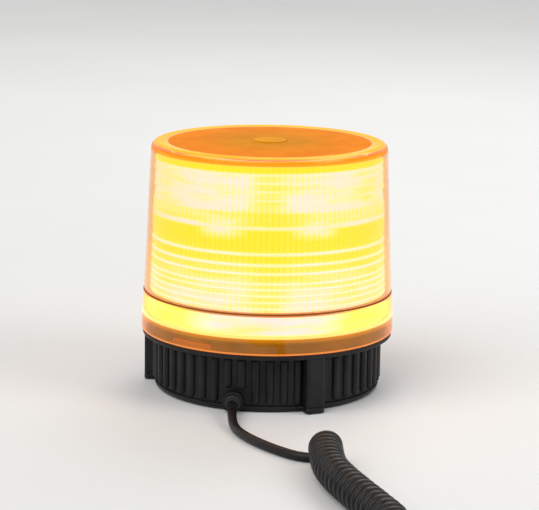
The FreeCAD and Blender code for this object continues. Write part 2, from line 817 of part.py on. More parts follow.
def power_transistor():
    x, y = on_board(sink_share)
    y += (sink_thickness + transistor_depth) / 2
    size = (transistor_width, transistor_depth, transistor_height)
    leg = (transistor_leg, transistor_leg, transistor_lift)
    body = block(size, (x, y), board_top + transistor_lift)
    legs = [block(leg, (x + k * transistor_leg_pitch, y), board_top) for k in (-1, 0, 1)]
    return body.fuse(legs).removeSplitter()


def film_capacitor():
    return block(film_size, on_board(film_share), board_top)


def board_resistors():
    pieces = []
    span = resistor_length + 4 * resistor_lead
    x, middle = on_board(resistor_share)
    for k in range(resistor_count):
        y = middle + (k - (resistor_count - 1) / 2) * resistor_pitch
        axis = board_top + resistor_radius + resistor_lead
        half = resistor_length / 2
        body = rod(resistor_radius, Vector(x - half, y, axis), Vector(x + half, y, axis))
        lead = block((span, resistor_lead, resistor_lead), (x, y), axis - resistor_lead / 2)
        leg = (resistor_lead, resistor_lead, axis + resistor_lead / 2 - board_top)
        legs = [block(leg, (x + side * (span - resistor_lead) / 2, y), board_top) for side in (-1, 1)]
        pieces.append(body.fuse([lead] + legs).removeSplitter())
    return Part.makeCompound(pieces)


# Cord at the base
def cable_grommet():
    back = exit_boss_back
    body = rod(grommet_radius, exit_axis(back), exit_axis(exit_boss_face))
    inner = rod(grommet_flange_radius, exit_axis(back - grommet_flange), exit_axis(back))
    outer = rod(grommet_flange_radius, exit_axis(exit_boss_face), exit_axis(exit_boss_face + grommet_flange))
    nose_start = exit_boss_face + grommet_flange
    nose = Part.makeCone(grommet_radius, grommet_nose_radius, grommet_end - nose_start, exit_axis(nose_start),
                         Vector(0, -1, 0))
    bore = rod(cord_radius, exit_axis(back - grommet_flange), exit_axis(grommet_end))
    return body.fuse([inner, outer, nose]).cut(bore).removeSplitter()


def cord_inner():
    return rod(cord_radius, exit_axis(inner_cord_end), exit_axis(grommet_end))


def clamp_centre():
    """Distance of the clamp's middle from the axis plane, between the grommet and the cord's inner end."""
    return (inner_cord_end + exit_boss_back - grommet_flange) / 2


def clamp_screw_foot(side):
    reach = cord_radius + clamp_wall + clamp_foot_length / 2
    return Vector(cord_exit_x + side * reach, -clamp_centre(), plate_top)


def cord_clamp():
    centre = clamp_centre()
    near = exit_axis(centre - clamp_width / 2)
    far = exit_axis(centre + clamp_width / 2)
    arch = rod(cord_radius + clamp_wall, near, far)
    length = 2 * (cord_radius + clamp_wall + clamp_foot_length)
    feet = block((length, clamp_width, clamp_foot_thickness), (cord_exit_x, -centre), plate_top)
    below = block((length, clamp_width, plate_top), (cord_exit_x, -centre), 0)
    gap = rod(cord_radius + pin_clearance, near, far)
    slot_size = (2 * (cord_radius + pin_clearance), clamp_width, cord_radius)
    slot = block(slot_size, (cord_exit_x, -centre), plate_top)
    holes = [rod(small_screw_radius + pin_clearance, clamp_screw_foot(side),
                 clamp_screw_foot(side) + UP * clamp_foot_thickness) for side in (-1, 1)]
    return arch.fuse(feet).cut([below, gap, slot] + holes).removeSplitter()


def clamp_screws():
    screws = []
    for side in (-1, 1):
        seat = clamp_screw_foot(side) + UP * clamp_foot_thickness
        tip = clamp_screw_foot(side) - UP * clamp_screw_grip
        screws.append(screw(seat, tip, small_screw_radius, small_screw_head_radius, clamp_foot_thickness))
    return Part.makeCompound(screws)


def power_wires():
    wires = []
    for side in (-1, 1):
        x = cord_exit_x + side * wire_gap / 2
        start = Vector(x, -inner_cord_end, cord_exit_z)
        corner = start + Vector(0, wire_bend, wire_bend)
        middle = start + Vector(0, math.sqrt(0.5), 1 - math.sqrt(0.5)) * wire_bend
        path = Part.Wire([Part.Arc(start, middle, corner).toShape(),
                          Part.makeLine(corner, Vector(corner.x, corner.y, board_height))])
        circle = Part.Wire(Part.makeCircle(wire_radius, start, Vector(0, 1, 0)))
        wires.append(path.makePipeShell([circle], True, False))
    return Part.makeCompound(wires)


# Free cord
def route(points):
    """Straight runs joined by tangent arcs, each as large as its two runs allow, and the arcs' radii."""
    edges = []
    radii = []
    here = points[0]
    for before, corner, after in zip(points, points[1:], points[2:]):
        back = before - corner
        ahead = after - corner
        half_turn = (math.pi - back.getAngle(ahead)) / 2
        reach = 0.45 * min(back.Length, ahead.Length)
        back.normalize()
        ahead.normalize()
        radius = reach / math.tan(half_turn)
        inward = (back + ahead).normalize()
        middle = corner + inward * (radius / math.cos(half_turn) - radius)
        edges.append(Part.makeLine(here, corner + back * reach))
        edges.append(Part.Arc(corner + back * reach, middle, corner + ahead * reach).toShape())
        here = corner + ahead * reach
        radii.append(radius)
    edges.append(Part.makeLine(here, points[-1]))
    return Part.Wire(edges), radii


def cord_tube(name, points, radius):
    """Round tube along a route; prints its bends and its volume against section times length."""
    path, radii = route(points)
    circle = Part.Wire(Part.makeCircle(radius, points[0], points[1] - points[0]))
    tube = path.makePipeShell([circle], True, False)
    share = tube.Volume / (math.pi * radius ** 2 * path.Length)
    bends = " ".join("%.1f" % r for r in radii)
    print("%s: length %.1f, volume share %.4f, bend radii %s" % (name, path.Length, share, bends))
    return tube


def from_exit(across, along, height):
    """Point measured from where the cord leaves the grommet."""
    return Vector(cord_exit_x + across, along - grommet_end, height)


def lead_route():
    points = [from_exit(0, 0, cord_exit_z), from_exit(0, -lead_run_out, cord_exit_z)]
    return points + [from_exit(x, y, cord_radius) for x, y in lead_points]


def cord_lead():
    return cord_tube("cord_lead", lead_route(), cord_radius)


def cord_coil():
    """Fat tube of the curly stretch's outer size, with a notch where the lead runs into it."""
    coil = cord_tube("cord_coil", [from_exit(x, y, curl_radius) for x, y in curl_points], curl_radius)
    path = route(lead_route())[0]
    circle = Part.Wire(Part.makeCircle(cord_radius, exit_axis(grommet_end), Vector(0, -1, 0)))
    return coil.cut(path.makePipeShell([circle], True, False))


def cord_tail():
    x, y = curl_points[-1]
    points = [from_exit(x, y, cord_radius)]
    for (x, y), rise in zip(tail_points, tail_rises):
        points.append(from_exit(x, y, cord_radius + (plug_axis_z - cord_radius) * rise))
    points.append(Vector(tail_end_x, plug_axis_y, plug_axis_z))
    return cord_tube("cord_tail", points, cord_radius)


# Plug, drawn upright about Z from the back of its shells, then laid along +X

def laid(shape):
    """Turns a shape drawn upright to the plug's place: its up becomes +X and its +X becomes down."""
    copy = shape.copy()
    copy.rotate(ORIGIN, Vector(0, 1, 0), 90)
    copy.translate(Vector(boot_end_x, plug_axis_y, plug_axis_z))
    return copy


def plug_point(along, across, height):
    """Point in the plug's place: along it, to the side and above its axis."""
    return Vector(boot_end_x + along, plug_axis_y + across, plug_axis_z + height)


def plug_boot():
    ring_pitch = boot_length / boot_ring_count
    steps = [(cord_radius, -boot_length), (boot_tip_radius, -boot_length)]
    for k in range(boot_ring_count):
        low = -boot_length + k * ring_pitch
        radius = boot_tip_radius + (boot_root_radius - boot_tip_radius) * (k + 1) / boot_ring_count
        steps.append((radius + boot_ring_rise, low + ring_pitch * 0.3))
        steps.append((radius + boot_ring_rise, low + ring_pitch * 0.7))
        steps.append((radius, low + ring_pitch))
    flange = boot_neck + boot_flange
    steps += [(boot_root_radius, boot_neck), (boot_flange_radius, boot_neck), (boot_flange_radius, flange),
              (0, flange), (0, 0), (cord_radius, 0)]
    return laid(spun(*steps))


def plug_shell_solid():
    """Hollow body of the plug before it is split into its two shells."""
    neck = boot_root_radius + seat_clearance
    groove = boot_flange_radius + seat_clearance
    groove_end = boot_neck + boot_flange + seat_clearance
    back_bore = plug_back_radius - shell_wall
    body = spun((neck, 0), (plug_back_radius, 0),
                ((plug_back_radius + (handle_radius - plug_back_radius) * 0.75, handle_start * 0.55),
                 (handle_radius, handle_start)),
                (handle_radius, handle_end), (insert_radius, insert_start), (insert_radius, plug_length),
                (cavity_radius, plug_length), (cavity_radius, insert_start), (handle_bore, handle_end),
                (handle_bore, handle_start), (back_bore, groove_end + shell_wall), (back_bore, groove_end),
                (groove, groove_end), (groove, boot_neck - seat_clearance),
                (neck, boot_neck - seat_clearance))
    outside = spun((0, 0), (plug_back_radius, 0),
                   ((plug_back_radius + (handle_radius - plug_back_radius) * 0.75, handle_start * 0.55),
                    (handle_radius, handle_start)), (handle_radius, handle_end), (0, handle_end))
    body = laid(body)
    outside = laid(outside)
    posts = []
    for side in (-1, 1):
        post = rod(plug_post_radius, plug_point(plug_screw_at, side * plug_screw_offset, -handle_radius),
                   plug_point(plug_screw_at, side * plug_screw_offset, handle_radius))
        posts.append(post.common(outside))
    slot_low = contact_back + contact_foot
    slots = []
    for side in (-1, 1):
        slots.append(block((contact_length, insert_radius, contact_width + 2 * slide_clearance),
                           (boot_end_x + slot_low + contact_length / 2,
                            plug_axis_y + side * (cavity_radius + insert_radius / 2 - 1)),
                           plug_axis_z - contact_width / 2 - slide_clearance))
    return body.fuse(posts).cut(slots)


def plug_screw_line(side):
    """Lowest, seat and tip points of one plug screw."""
    across = side * plug_screw_offset
    seat = plug_point(plug_screw_at, across, -plug_back_radius + shell_wall)
    tip = plug_point(plug_screw_at, across, plug_back_radius - 2 * shell_wall)
    return plug_point(plug_screw_at, across, -handle_radius), seat, tip


def plug_half(upper):
    reach = 2 * plug_length
    low = plug_axis_z if upper else plug_axis_z - reach
    half = block((reach, reach, reach), (boot_end_x + plug_length / 2, plug_axis_y), low)
    holes = []
    for side in (-1, 1):
        bottom, seat, tip = plug_screw_line(side)
        holes.append(rod(small_screw_radius + pin_clearance, bottom, tip))
        holes.append(rod(small_screw_head_radius + slide_clearance, bottom, seat))
    if upper:
        holes.append(switch_block(seat_clearance))
    return plug_shell_solid().common(half).cut(holes).removeSplitter()


def plug_upper_shell():
    return plug_half(True)


def plug_lower_shell():
    return plug_half(False)


def plug_screws():
    screws = []
    for side in (-1, 1):
        bottom, seat, tip = plug_screw_line(side)
        screws.append(screw(seat, tip, small_screw_radius, small_screw_head_radius, screw_head_height))
    return Part.makeCompound(screws)


def plug_nose_cap():
    skirt = cavity_radius - seat_clearance
    inside = skirt - cap_wall
    back = plug_length - cap_skirt
    face = plug_length + cap_face
    shoulder = tip_back + tip_flange + slide_clearance
    hole = tip_radius + slide_clearance
    return laid(spun((inside, back), (skirt, back), (skirt, plug_length), (insert_radius, plug_length),
                     (insert_radius, plug_length + cap_face / 2), (cap_nose_radius, face), (hole, face),
                     (hole, shoulder), (inside, shoulder)))


def plug_tip():
    end = plug_length + cap_face + tip_reach
    flange = cavity_radius - seat_clearance - cap_wall - slide_clearance
    dome = tip_radius * math.sqrt(0.5)
    return laid(spun((0, tip_back), (flange, tip_back), (flange, tip_back + tip_flange),
                     (tip_radius, tip_back + tip_flange), (tip_radius, end - tip_radius),
                     ((dome, end - tip_radius + dome), (0, end))))


def fuse_glass():
    low = fuse_back + fuse_cap_length
    high = tip_back - fuse_cap_length
    return laid(ring(0, fuse_radius - seat_clearance, low, high))


def fuse_caps():
    back = ring(0, fuse_radius, fuse_back, fuse_back + fuse_cap_length)
    front = ring(0, fuse_radius, tip_back - fuse_cap_length, tip_back)
    return Part.makeCompound([laid(back), laid(front)])


def fuse_sleeve():
    bore = fuse_radius + slide_clearance
    floor = fuse_back - spring_room
    front = plug_length - cap_skirt
    collar = cavity_radius - seat_clearance
    return laid(spun((0, floor - sleeve_wall), (sleeve_radius, floor - sleeve_wall),
                     (sleeve_radius, insert_start), (collar, insert_start), (collar, sleeve_back),
                     (sleeve_radius, sleeve_back), (sleeve_radius, front), (bore, front), (bore, floor),
                     (0, floor)))


def fuse_spring():
    """Plain sleeve of the coil spring's outer size."""
    return laid(ring(fuse_radius - 2 * spring_wire, fuse_radius, fuse_back - spring_room, fuse_back))


def side_contact(side):
    """Bowed strip that stands out of a slot in the plug's side, held by its two feet behind the wall."""
    outer = math.sqrt(cavity_radius ** 2 - contact_width ** 2 / 4) - slide_clearance
    inner = outer - contact_thickness
    low = contact_back + slide_clearance
    high = contact_front - slide_clearance
    bow_low = contact_back + contact_foot + slide_clearance
    bow_high = contact_front - contact_foot - slide_clearance
    middle = (low + high) / 2
    strip = outline((inner, low), (outer, low), (outer, bow_low),
                    ((outer + contact_rise, middle), (outer, bow_high)), (outer, high), (inner, high),
                    (inner, bow_high), ((inner + contact_rise, middle), (inner, bow_low)))
    solid = strip.extrude(Vector(0, contact_width, 0))
    solid.translate(Vector(0, -contact_width / 2, 0))
    solid.rotate(ORIGIN, UP, 90 * side)
    return laid(solid)


def side_contact_left():
    return side_contact(1)


def side_contact_right():
    return side_contact(-1)


# Plug switch, on top of the handle

def switch_block(clearance):
    """Outside of the switch's case, grown by a clearance."""
    size = (switch_length + 2 * switch_wall + 2 * clearance, switch_width + 2 * switch_wall + 2 * clearance,
            switch_depth + clearance)
    middle = plug_point(switch_centre, 0, switch_top - switch_flange - switch_depth - clearance)
    case = block(size, (middle.x, middle.y), middle.z)
    flange = (size[0] + 2 * switch_wall, size[1] + 2 * switch_wall, switch_flange + clearance)
    return case.fuse(block(flange, (middle.x, middle.y), middle.z + switch_depth)).removeSplitter()


def switch_case():
    middle = plug_point(switch_centre, 0, switch_top - switch_flange - switch_depth)
    room_size = (switch_length, switch_width, switch_depth + switch_flange - switch_wall)
    room = block(room_size, (middle.x, middle.y), middle.z + switch_wall)
    half = switch_width / 2 + switch_wall / 2
    pins = rod(rocker_pin_radius + pin_clearance, plug_point(switch_centre, -half, rocker_pivot),
               plug_point(switch_centre, half, rocker_pivot))
    return switch_block(0).cut([room, pins])


def switch_rocker():
    """Rocker with two flat faces about a pin, tipped to its off side."""
    half = switch_length / 2 - 2 * slide_clearance
    slope = math.tan(math.radians(rocker_angle))
    hump = rocker_pin_radius + rocker_rise + switch_flange
    drop = hump - 2 * half * slope / 2
    keel = rocker_pin_radius * 2.5
    profile = [plug_point(switch_centre - half, 0, rocker_pivot + drop),
               plug_point(switch_centre, 0, rocker_pivot + hump),
               plug_point(switch_centre + half, 0, rocker_pivot + drop),
               plug_point(switch_centre + keel, 0, rocker_pivot - keel),
               plug_point(switch_centre - keel, 0, rocker_pivot - keel)]
    wide = switch_width / 2 - slide_clearance
    body = Part.Face(Part.makePolygon(profile + profile[:1])).extrude(Vector(0, 2 * wide, 0))
    body.translate(Vector(0, -wide, 0))
    pin = switch_width / 2 + switch_wall / 2 - pin_clearance
    axle = rod(rocker_pin_radius, plug_point(switch_centre, -pin, rocker_pivot),
               plug_point(switch_centre, pin, rocker_pivot))
    rocker = body.fuse(axle).removeSplitter()
    rocker.rotate(plug_point(switch_centre, 0, rocker_pivot), Vector(0, 1, 0), -rocker_angle)
    return rocker


PIECES = (rubber_pad, magnet_cup, magnet, magnet_bolt, magnet_washer, magnet_nut,
          bottom_plate, plate_screws, base_housing, lens_gasket, outer_lens, inner_lens,
          reflector_deck, deck_screws, tube_socket, flash_tube, tube_electrodes, trigger_wire,
          driver_board, board_screws, transformer_core, transformer_winding, storage_capacitor,
          trigger_coil, heat_sink, power_transistor, film_capacitor, board_resistors,
          cable_grommet, cord_inner, cord_clamp, clamp_screws, power_wires,
          cord_lead, cord_coil, cord_tail,
          plug_boot, plug_upper_shell, plug_lower_shell, plug_screws, plug_nose_cap, plug_tip,
          fuse_glass, fuse_caps, fuse_sleeve, fuse_spring, side_contact_left, side_contact_right,
          switch_case, switch_rocker)

os.makedirs("parts", exist_ok=True)
for piece in PIECES:
    piece().exportStep(os.path.join("parts", piece.__name__ + ".step"))
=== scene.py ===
import json
import math

import bmesh
import bpy
import numpy as np
from mathutils import Matrix


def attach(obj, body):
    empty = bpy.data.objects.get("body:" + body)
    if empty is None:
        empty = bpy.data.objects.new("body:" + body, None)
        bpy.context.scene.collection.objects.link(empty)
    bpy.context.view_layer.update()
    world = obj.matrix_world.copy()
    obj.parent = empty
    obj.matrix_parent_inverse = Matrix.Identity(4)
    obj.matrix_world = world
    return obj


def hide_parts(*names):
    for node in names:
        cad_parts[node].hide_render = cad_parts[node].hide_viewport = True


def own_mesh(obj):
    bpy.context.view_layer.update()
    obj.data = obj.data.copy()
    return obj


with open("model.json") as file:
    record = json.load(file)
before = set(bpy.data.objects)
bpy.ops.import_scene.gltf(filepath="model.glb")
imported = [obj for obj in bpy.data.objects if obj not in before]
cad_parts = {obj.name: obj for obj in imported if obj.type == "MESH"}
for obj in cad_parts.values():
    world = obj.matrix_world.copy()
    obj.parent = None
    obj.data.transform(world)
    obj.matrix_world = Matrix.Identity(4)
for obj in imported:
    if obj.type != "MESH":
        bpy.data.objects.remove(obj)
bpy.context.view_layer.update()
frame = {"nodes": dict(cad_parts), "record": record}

# Magnetic strobe beacon, dressed over its solids.
# Sizes are in millimetres until a mesh is made. The origin is the middle of the foot, and +Z is up.
# Azimuths are in degrees from -Y, the side that the cord leaves, towards +X.
# Outlines are rows of (radius, height) or (radius, distance along). A third value rounds a corner.
slots = {entry["node"]: entry["material_slot"] for entry in frame["record"]["subparts"]}
MM = 0.001
merge_distance = 1e-6        # metres
piece_sharp = 35.0           # degrees between faces from which an edge stays sharp
copy_sharp = 30.0

# Base
plate_top = 3.2
shoulder_under = 27.4
shoulder_top = 28.8
collar_top = 38.5
deck_seat = 32.0
wall_bore = 53.0
wall_radius = 55.6
shoulder_radius = 62.4
collar_radius = 58.2
collar_bore = 55.8
tower_azimuths = (23.0, 143.0, 263.0)
tower_reach = 61.9
tower_root = 54.0            # inside the wall
tower_width = 9.6
tower_corner = 1.8
tower_edge = 0.35            # chamfer at the tower's foot
rib_count = 51
rib_radius = 2.1
rib_rise = 1.8
rib_low = 4.0
rib_high = 26.6
rib_end = 1.7                # height of a rib's ball end
rib_flank = 105.0            # degrees that a rib's round reaches on each side
tower_clear = 5.0            # degrees without ribs on each side of a tower
boss_clear = 5.16            # degrees on each side of the cord where ribs are short
boss_rise = 5.8              # foot of the short ribs above the cord
boss_radius = 5.0
boss_bore = 4.1
boss_front = -57.6
base_steps = 360

# Bayonet: lugs with a stop on the base, tabs in the lens
bayonet_azimuths = (83.0, 203.0, 323.0)
bayonet_half = 10.0          # degrees
lug_inside = 57.0
lug_outside = 60.2
lug_low = 33.0
lug_high = 34.8
stop_low = 29.9
stop_first = 13.0            # degrees before the middle of the lug
stop_last = 10.3
tab_inside = 58.6
tab_outside = 61.2
tab_low = 30.6
tab_high = 32.7
block_edge = 0.25

# Screws of the foot
screw_circle = 57.4
screw_foot = 0.6
screw_end = 14.2
screw_head_top = 2.2
screw_head_radius = 2.9
screw_radius = 1.5
bolt_foot = 1.0
bolt_end = 14.5
bolt_radius = 3.0
bolt_head_radius = 6.0
bolt_head_top = 4.2
screw_steps = 64

# Outer lens
lens_low = 29.9
lens_radius = 63.0
lens_bore = 60.6
lens_seam = 61.8             # where the outline starts and ends
wall_top = 119.6
field_radius = 50.6
field_edge = 123.3
crown_rise = 0.55
top_boss_foot = 8.6
top_boss_radius = 8.2
lens_top = 124.3
drum_groove_inside = 53.7
drum_groove_outside = 55.5
lens_steps = 300

# Inner lens
drum_top = 119.7
drum_foot = 49.7
drum_top_radius = 55.9
drum_foot_radius = 58.5
drum_bore_top = 52.9
drum_bore_foot = 55.4
drum_flange = 1.2
drum_skirt_low = 38.9
drum_skirt_radius = 60.05
drum_skirt_bore = 58.45
prism_depth = 0.9
prism_undercut = 0.05
belt_bulge = 1.1
rings_below = (51.6, 54.7, 57.8, 60.9, 63.7, 68.5, 72.7, 77.9)
rings_above = (103.5, 107.8, 111.8, 115.6)
focus_ring = 90.4
flute_count = 128
flute_depth = 0.7
flute_radius = 54.0

# Cord
cord_radius = 2.2
cord_round = 4               # how finely the cord's section is rounded
cord_steps = 3               # steps along the cord between two of its points
measure_steps = 24
curl_radius = 5.6
curl_pitch = 5.1
curl_lift = 0.1
curl_end_gap = 1.0
curl_points = 16             # points in a turn
exit_point = (-16.0, -62.6, 5.4)
bush_steps = 48
lead_route = ((-16.0, -62.6, 5.4), (-16.0, -74.0, 5.4), (-15.2, -85.4, 2.2), (-11.4, -98.0, 2.2),
              (-4.2, -111.0, 2.2), (5.4, -123.4, 2.2), (15.6, -133.6, 2.2))
curl_route = ((26.7, -134.2), (26.8, -151.0), (28.3, -169.0), (34.8, -191.0), (44.2, -217.0),
              (53.4, -243.0), (44.0, -268.0), (17.0, -282.0), (-13.0, -285.2), (-44.5, -282.4))
tail_route = ((-62.4, -280.8, 2.2), (-79.4, -291.4, 2.2), (-86.5, -310.1, 3.28),
              (-81.0, -329.3, 7.6), (-65.0, -341.4, 13.0), (-47.0, -341.4, 13.0))

# Plug, along x from the back of its shells
plug_back = -21.0
plug_y = -341.4
plug_z = 13.0
plug_steps = 64
boot_length = 26.0
boot_rings = 5
boot_tip = 3.6
boot_root = 4.0              # between the first two rings
boot_growth = 0.4            # of the root, from ring to ring
boot_ring_rise = 0.7
boot_neck = 5.6
boot_flange = 7.2
boot_flange_back = 3.0
boot_flange_front = 5.0
shells_length = 66.0
cap_length = 8.0
cap_radius = 10.3
cap_face = 6.4
cap_hole = 3.9
cap_inside = 6.6
cap_spigot = 8.1
cap_spigot_back = 60.0
cap_seat = 66.1
tip_length = 14.0
tip_radius = 3.6
tip_flange = 6.3
tip_flange_back = 63.8
tip_flange_front = 65.8
fuse_back = 41.8
spring_length = 11.0
spring_radius = 2.8
spring_wire = 0.4
spring_turns = 5
spring_steps = 32            # in a turn
wire_steps = 12

# Camera and light, in metres
photo_width = 539.0          # pixels
photo_focus = 2089.0         # pixels
film_width = 36.0
camera_place = (0.0, -1.023, 0.278)
camera_turn = (11.71, 0.04, 0.88)    # pitch, yaw and roll in degrees
camera_reach = 50.0
floor_half = 6.0
light_aim = (0.0, 0.0, 0.05)
sky_light = 0.36
sky_seen = 0.72


# Surfaces
def skin(points, around=False, along=False):
    """Quads of a grid: each point joins the next in its row and the same one in the next row."""
    rows, cols = points.shape[:2]
    index = np.arange(rows * cols).reshape(rows, cols)
    if around:
        index = np.concatenate([index, index[:, :1]], axis=1)
    if along:
        index = np.concatenate([index, index[:1]], axis=0)
    corners = [index[:-1, :-1], index[:-1, 1:], index[1:, 1:], index[1:, :-1]]
    return points.reshape(-1, 3), np.stack(corners, axis=-1).reshape(-1, 4)


def merged(mesh, outwards, sharp):
    """Mesh with its doubles merged, shaded smooth between sharp edges."""
    shape = bmesh.new()
    shape.from_mesh(mesh)
    bmesh.ops.remove_doubles(shape, verts=shape.verts, dist=merge_distance)
    if outwards:
        bmesh.ops.recalc_face_normals(shape, faces=shape.faces)
    shape.to_mesh(mesh)
    shape.free()
    mesh.shade_smooth()
    mesh.set_sharp_from_angle(angle=math.radians(sharp))
    return mesh


def dressed(name, mesh, body, slot, replaced):
    """Object of a finished mesh, in its slot's finish, that rides a body in place of solids."""
    mesh.materials.clear()
    mesh.materials.append(finishes[slot])
    obj = bpy.data.objects.new(name, mesh)
    bpy.context.scene.collection.objects.link(obj)
    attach(obj, body)
    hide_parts(*replaced)
    return obj


def piece(name, body, slot, skins, replaced):
    """One object from several skins, with its faces outwards."""
    starts = np.cumsum([0] + [len(points) for points, quads in skins])
    points = np.concatenate([points for points, quads in skins]) * MM
    quads = np.concatenate([quads + start for (_, quads), start in zip(skins, starts)])
    mesh = bpy.data.meshes.new(name)
    mesh.from_pydata(points.tolist(), [], quads.tolist())
    return dressed(name, merged(mesh, True, piece_sharp), body, slot, replaced)


def smoothed(node, name, body):
    """Copy of a solid's mesh whose round faces shade evenly."""
    mesh = merged(frame["nodes"][node].data.copy(), False, copy_sharp)
    obj = dressed(name, mesh, body, slots[node], (node,))
    even = obj.modifiers.new("even_shading", "WEIGHTED_NORMAL")
    even.weight = 100
    even.keep_sharp = True
    return obj


def softened(corners, steps=5):
    """Outline whose corners (x, y, cut) turn on a parabola from a cut before to a cut after."""
    limit = 0.49             # of an edge, so that two cuts never meet
    corners = [np.array(c, float) for c in corners]
    points = []
    for k, corner in enumerate(corners):
        here = corner[:2]
        cut = corner[2] if len(corner) > 2 else 0.0
        if cut == 0 or k in (0, len(corners) - 1):
            points.append(here[None])
            continue
        back = corners[k - 1][:2] - here
        ahead = corners[k + 1][:2] - here
        first = here + back * min(limit, cut / np.linalg.norm(back))
        last = here + ahead * min(limit, cut / np.linalg.norm(ahead))
        t = np.linspace(0, 1, steps + 1)[:, None]
        points.append(first * (1 - t) ** 2 + here * 2 * t * (1 - t) + last * t ** 2)
    return np.concatenate(points)


def full_turn(steps):
    """Even angles once round."""
    return np.arange(steps) * 2 * math.pi / steps


def rows_of(outline, column, cols):
    """One column of an outline, repeated along each row of a grid."""
    return np.broadcast_to(outline[:, column][:, None], (len(outline), cols))


def around_axis(outline, turns):
    """Outline carried to each azimuth: x = r sin a, y = -r cos a, z = height."""
    r = outline[:, 0][:, None]
    z = rows_of(outline, 1, len(turns))
    return np.stack([r * np.sin(turns), -r * np.cos(turns), z], axis=-1)


def spun(outline, steps, closed=False):
    """Outline turned once about the beacon's axis."""
    return skin(around_axis(outline, full_turn(steps)), around=True, along=closed)


def about_plug(outline, closed=False):
    """Outline turned once about the plug's axis, which runs along x."""
    turns = full_turn(plug_steps)
    r = outline[:, 0][:, None]
    x = plug_back + rows_of(outline, 1, plug_steps)
    points = np.stack([x, plug_y + r * np.cos(turns), plug_z + r * np.sin(turns)], axis=-1)
    return skin(points, around=True, along=closed)


def block_ring(inner, outer, low, high, first, last, steps=12):
    """Box bent about the axis: a rectangle of radius and height carried between two azimuths."""
    outline = softened(((inner, low), (outer, low, block_edge), (outer, high, block_edge),
                        (inner, high)), 3)
    points = around_axis(outline, np.radians(np.linspace(first, last, steps)))
    middle = np.broadcast_to(points.mean(axis=0), points.shape)
    closed = np.concatenate([middle[:, :1], points, middle[:, -1:]], axis=1)
    return skin(closed, along=True)


